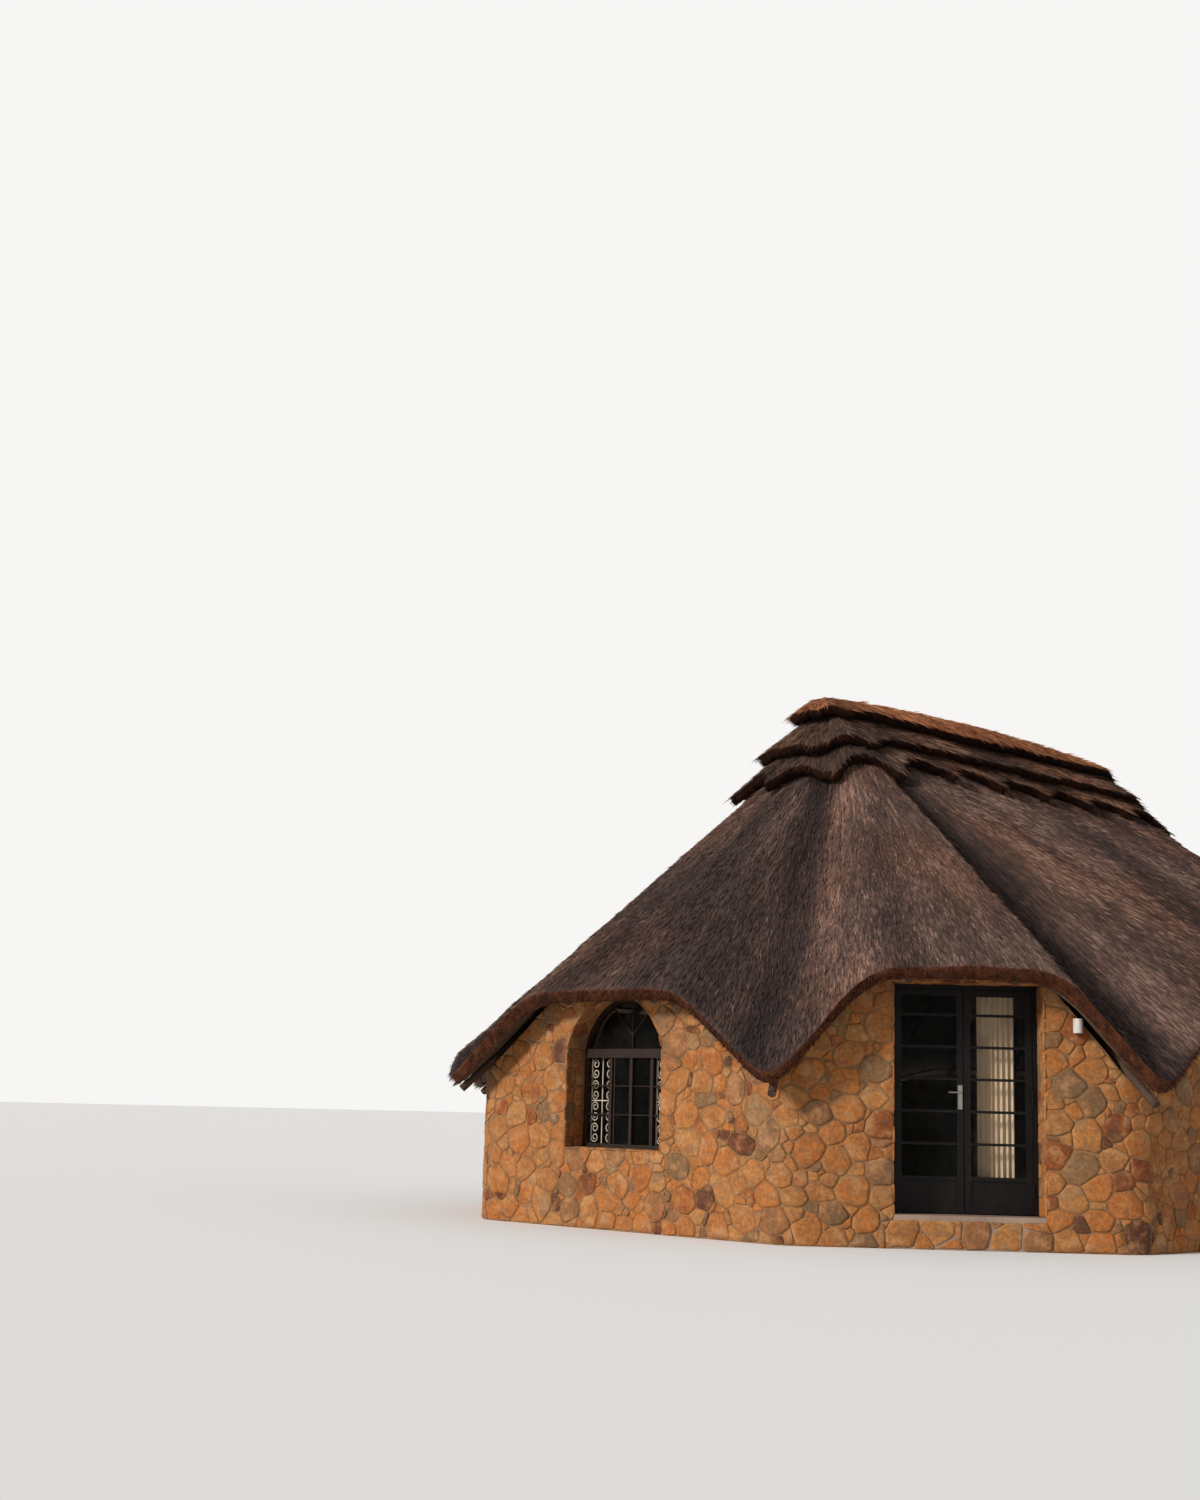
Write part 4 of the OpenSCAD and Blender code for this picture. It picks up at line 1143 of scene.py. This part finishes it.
def inWindow(i, depth, x, lines):  # lines drawn on a window, put in their place in the wall
    return [[inWall(i, x + a, depth, z) for a, z in line] for line in lines]


guard = {"into": 0.002, "behind": 0.016, "bar": 0.006, "scroll": 0.0052, "frame": 0.045,
    "depth": 0.06, "clear": 0.0063, "mullion": 0.29, "mullionWidth": 0.04, "transom": 0.09,
    "curl": 0.052, "turns": 1.35, "points": 18, "tighten": 0.74, "rows": 4, "between": 0.008}


def scroll(side, middleX, middleZ, back, half):  # a long C with a curl at each end
    line = []
    for end in (1, -1):
        curl = []
        for k in range(guard["points"] + 1):
            turn = 2 * pi * guard["turns"] * k / guard["points"]
            r = guard["curl"] * (1 - guard["tighten"] * k / guard["points"])
            curl.append((middleX + side * (back - guard["curl"] + r * cos(turn)),
                middleZ + end * (half - guard["curl"] + r * sin(turn))))
        line = line + curl if end < 0 else curl[::-1]
    return line


def makeGuards(i, label):
    inner = arch["half"] - guard["frame"]
    low = arch["low"] + guard["frame"]
    tall = arch["spring"] - guard["transom"] - arch["sill"] - guard["frame"]
    width = inner - guard["mullion"] - guard["mullionWidth"] / 2
    depth = arch["recess"] + guard["depth"] + guard["clear"]
    frames, scrolls = [], []
    for x0 in (-inner, guard["mullion"] + guard["mullionWidth"] / 2):
        e = guard["bar"]
        left, right, top = x0 - e, x0 + width + e, low + tall
        middle = (left + right) / 2
        frames += [[(left, low - e), (left, top + e)], [(right, low - e), (right, top + e)],
            [(left, low - e), (right, low - e)], [(left, top + e), (right, top + e)],
            [(left, low + tall / 2), (right, low + tall / 2)], [(middle, low), (middle, top)]]
        for row in range(guard["rows"]):
            for side in (-1, 1):
                scrolls.append(scroll(side, middle, low + tall * (row + 0.5) / guard["rows"],
                    width / 2 - guard["scroll"], tall / guard["rows"] / 2 - guard["between"]))
    for part, lines, width, sides in (("Bars", frames, "bar", 8),
            ("Scrolls", scrolls, "scroll", 6)):
        piece = layRods(label + "Guard" + part, inWindow(i, depth, arch["x"], lines),
            guard[width], sides, guardPaint)
        if part == "Bars":
            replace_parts(piece, label + "_window_guards")


bars = {"heights": (0.815, 1.10), "fork": 0.14, "turn": 0.46, "thick": 0.0095, "thin": 0.0085}
battens = {"backs": (0.07, 0.2, 0.33), "down": 0.004, "thick": 0.013}


def makeWindowBars(i, label):
    inner = arch["half"] - guard["frame"] + guard["into"]
    lines = [[(-inner, hut["floor"] + h), (inner, hut["floor"] + h)] for h in bars["heights"]]
    crown = archMiddle + archRadius - guard["frame"] + guard["into"]
    fork = arch["high"] + bars["fork"]
    lines.append([(0, arch["high"] - guard["into"]), (0, crown)])
    for side in (-1, 1):
        turn = side * bars["turn"]
        r = archRadius - guard["frame"] + guard["into"]
        lines.append([(0, fork), (r * sin(turn), archMiddle + r * cos(turn))])
    layRods(label + "WindowBars", inWindow(i, arch["recess"] + guard["behind"], arch["x"], lines),
        bars["thick"], 4, windowPaint, smooth=False)


def makeRibbonBars(i, label):
    left = ribbon["x"] - ribbon["half"] + guard["frame"]
    split = ribbon["x"] + ribbon["half"] - ribbon["width"] / 3
    low = ribbon["low"] + guard["frame"] - guard["into"]
    high = ribbon["high"] - guard["frame"] + guard["into"]
    lines = [[(left + (split - left) * k / 3, z) for z in (low, high)] for k in (1, 2)]
    layRods(label + "RibbonBars", inWindow(i, ribbon["recess"] + guard["behind"], 0, lines),
        bars["thin"], 4, windowPaint, smooth=False)


for i, label in ((0, "end"), (4, "far")):
    makeGuards(i, label)
    makeWindowBars(i, label)
for i, label in ((2, "front"), (6, "back")):
    makeRibbonBars(i, label)


def makeBattens():  # thin poles across the rafters, under the straw outside the walls
    lines = []
    for back in battens["backs"]:
        ring = [onRule(r, r[4] - back, underHeight(r, r[4] - back) - battens["down"])
            for r in rules[::2]]
        ring = ringSmooth(np.array(ring), 2).tolist()
        lines.append(ring + ring[:1])
    layRods("eaveBattens", lines, battens["thick"], 6, poleFinish)


makeBattens()
print("bars, guards and battens made")


# curtains: gathered cloth on the rail behind the door

curtain = {"pleats": 7, "deep": 0.021, "columns": 140, "rows": 30, "thick": 0.0016,
    "depth": 0.47, "room": 0.002, "scale": 160.0}


def clothFinish(name, tint, shade):
    def build(wire):
        weave = wire.node("ShaderNodeTexCoord", out="UV")
        across, down = (wire.node("ShaderNodeTexWave", {"Vector": weave, "Distortion": 1.0,
            "Scale": curtain["scale"]}, "Fac", bands_direction=axis) for axis in "XY")
        slub = weave.stretch(1, 9, 1).grain(26.0, 3.0, 0.6)
        soil = place(wire).grain(3.0, 3.0, 0.6)
        mask = slub.between(0.35, 0.7) * 0.5 + soil.between(0.5, 0.75) * 0.3
        return {"Base Color": mask.mix(tint, shade),
            "Normal": (across * 0.5 + down * 0.5 + slub * 0.4).bump(0.35, 0.0008)}
    return finish(name, {"Roughness": 0.9, "Sheen Weight": 0.25, "Specular IOR Level": 0.2}, build)


creamCloth = clothFinish("creamCloth", (0.72, 0.56, 0.37), (0.52, 0.39, 0.24))
greyCloth = clothFinish("greyCloth", (0.5, 0.49, 0.48), (0.36, 0.35, 0.34))


def makeCurtain(name, node, left, right, material, seed):
    low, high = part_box(node)
    foot, top = low[2] + curtain["room"], high[2] - curtain["room"]
    tall = top - foot
    picker = random.Random(seed)
    phase = [picker.uniform(0, 6.28) for _ in range(3)]
    columns, rows = curtain["columns"], curtain["rows"]
    points, uvs, length = [], [], 0.0
    for r in range(rows + 1):
        v = r / rows  # 0 at the rail, 1 at the hem
        deep = curtain["deep"] * (0.62 + 0.38 * min(1, v * 3))
        last = None
        for c in range(columns + 1):
            t = c / columns
            swing = 2 * pi * curtain["pleats"] * t + 0.5 * sin(5 * t + phase[0] + v * 1.2)
            depth = curtain["depth"] + deep * (
                0.86 * sin(swing) + 0.14 * sin(2.3 * swing + phase[1]))
            x = left + (right - left) * t + 0.006 * sin(2 * swing) * min(1, v * 2 + 0.3)
            x = min(right - curtain["room"], max(left + curtain["room"], x))
            spot = inWall(1, door["x"] + x, depth, top + (foot - top) * v)
            if last and r == rows:
                length += dist(spot, last)
            points.append(spot)
            uvs.append((t, v))
            last = spot
    span = columns + 1
    faces = [(r * span + c, (r + 1) * span + c, (r + 1) * span + c + 1, r * span + c + 1)
        for r in range(rows) for c in range(columns)]
    mesh = meshOf(name, points, faces)
    layer = mesh.uv_layers.new(name="cloth")
    for loop in mesh.loops:
        u, v = uvs[loop.vertex_index]
        layer.data[loop.index].uv = (u * length, v * tall)
    piece = linkPiece(name, mesh, (material,))
    shell = piece.modifiers.new("hem", "SOLIDIFY")
    shell.thickness, shell.offset = curtain["thick"], 0.0
    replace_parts(piece, node)
    print(name, "cut to", round(length, 3), "by", round(tall, 3))


makeCurtain("creamCurtain", "cream_curtain", 0.150, 0.500, creamCloth, 5)
makeCurtain("greyCurtain", "grey_curtain", -0.880, -0.580, greyCloth, 6)
print("curtains hung")
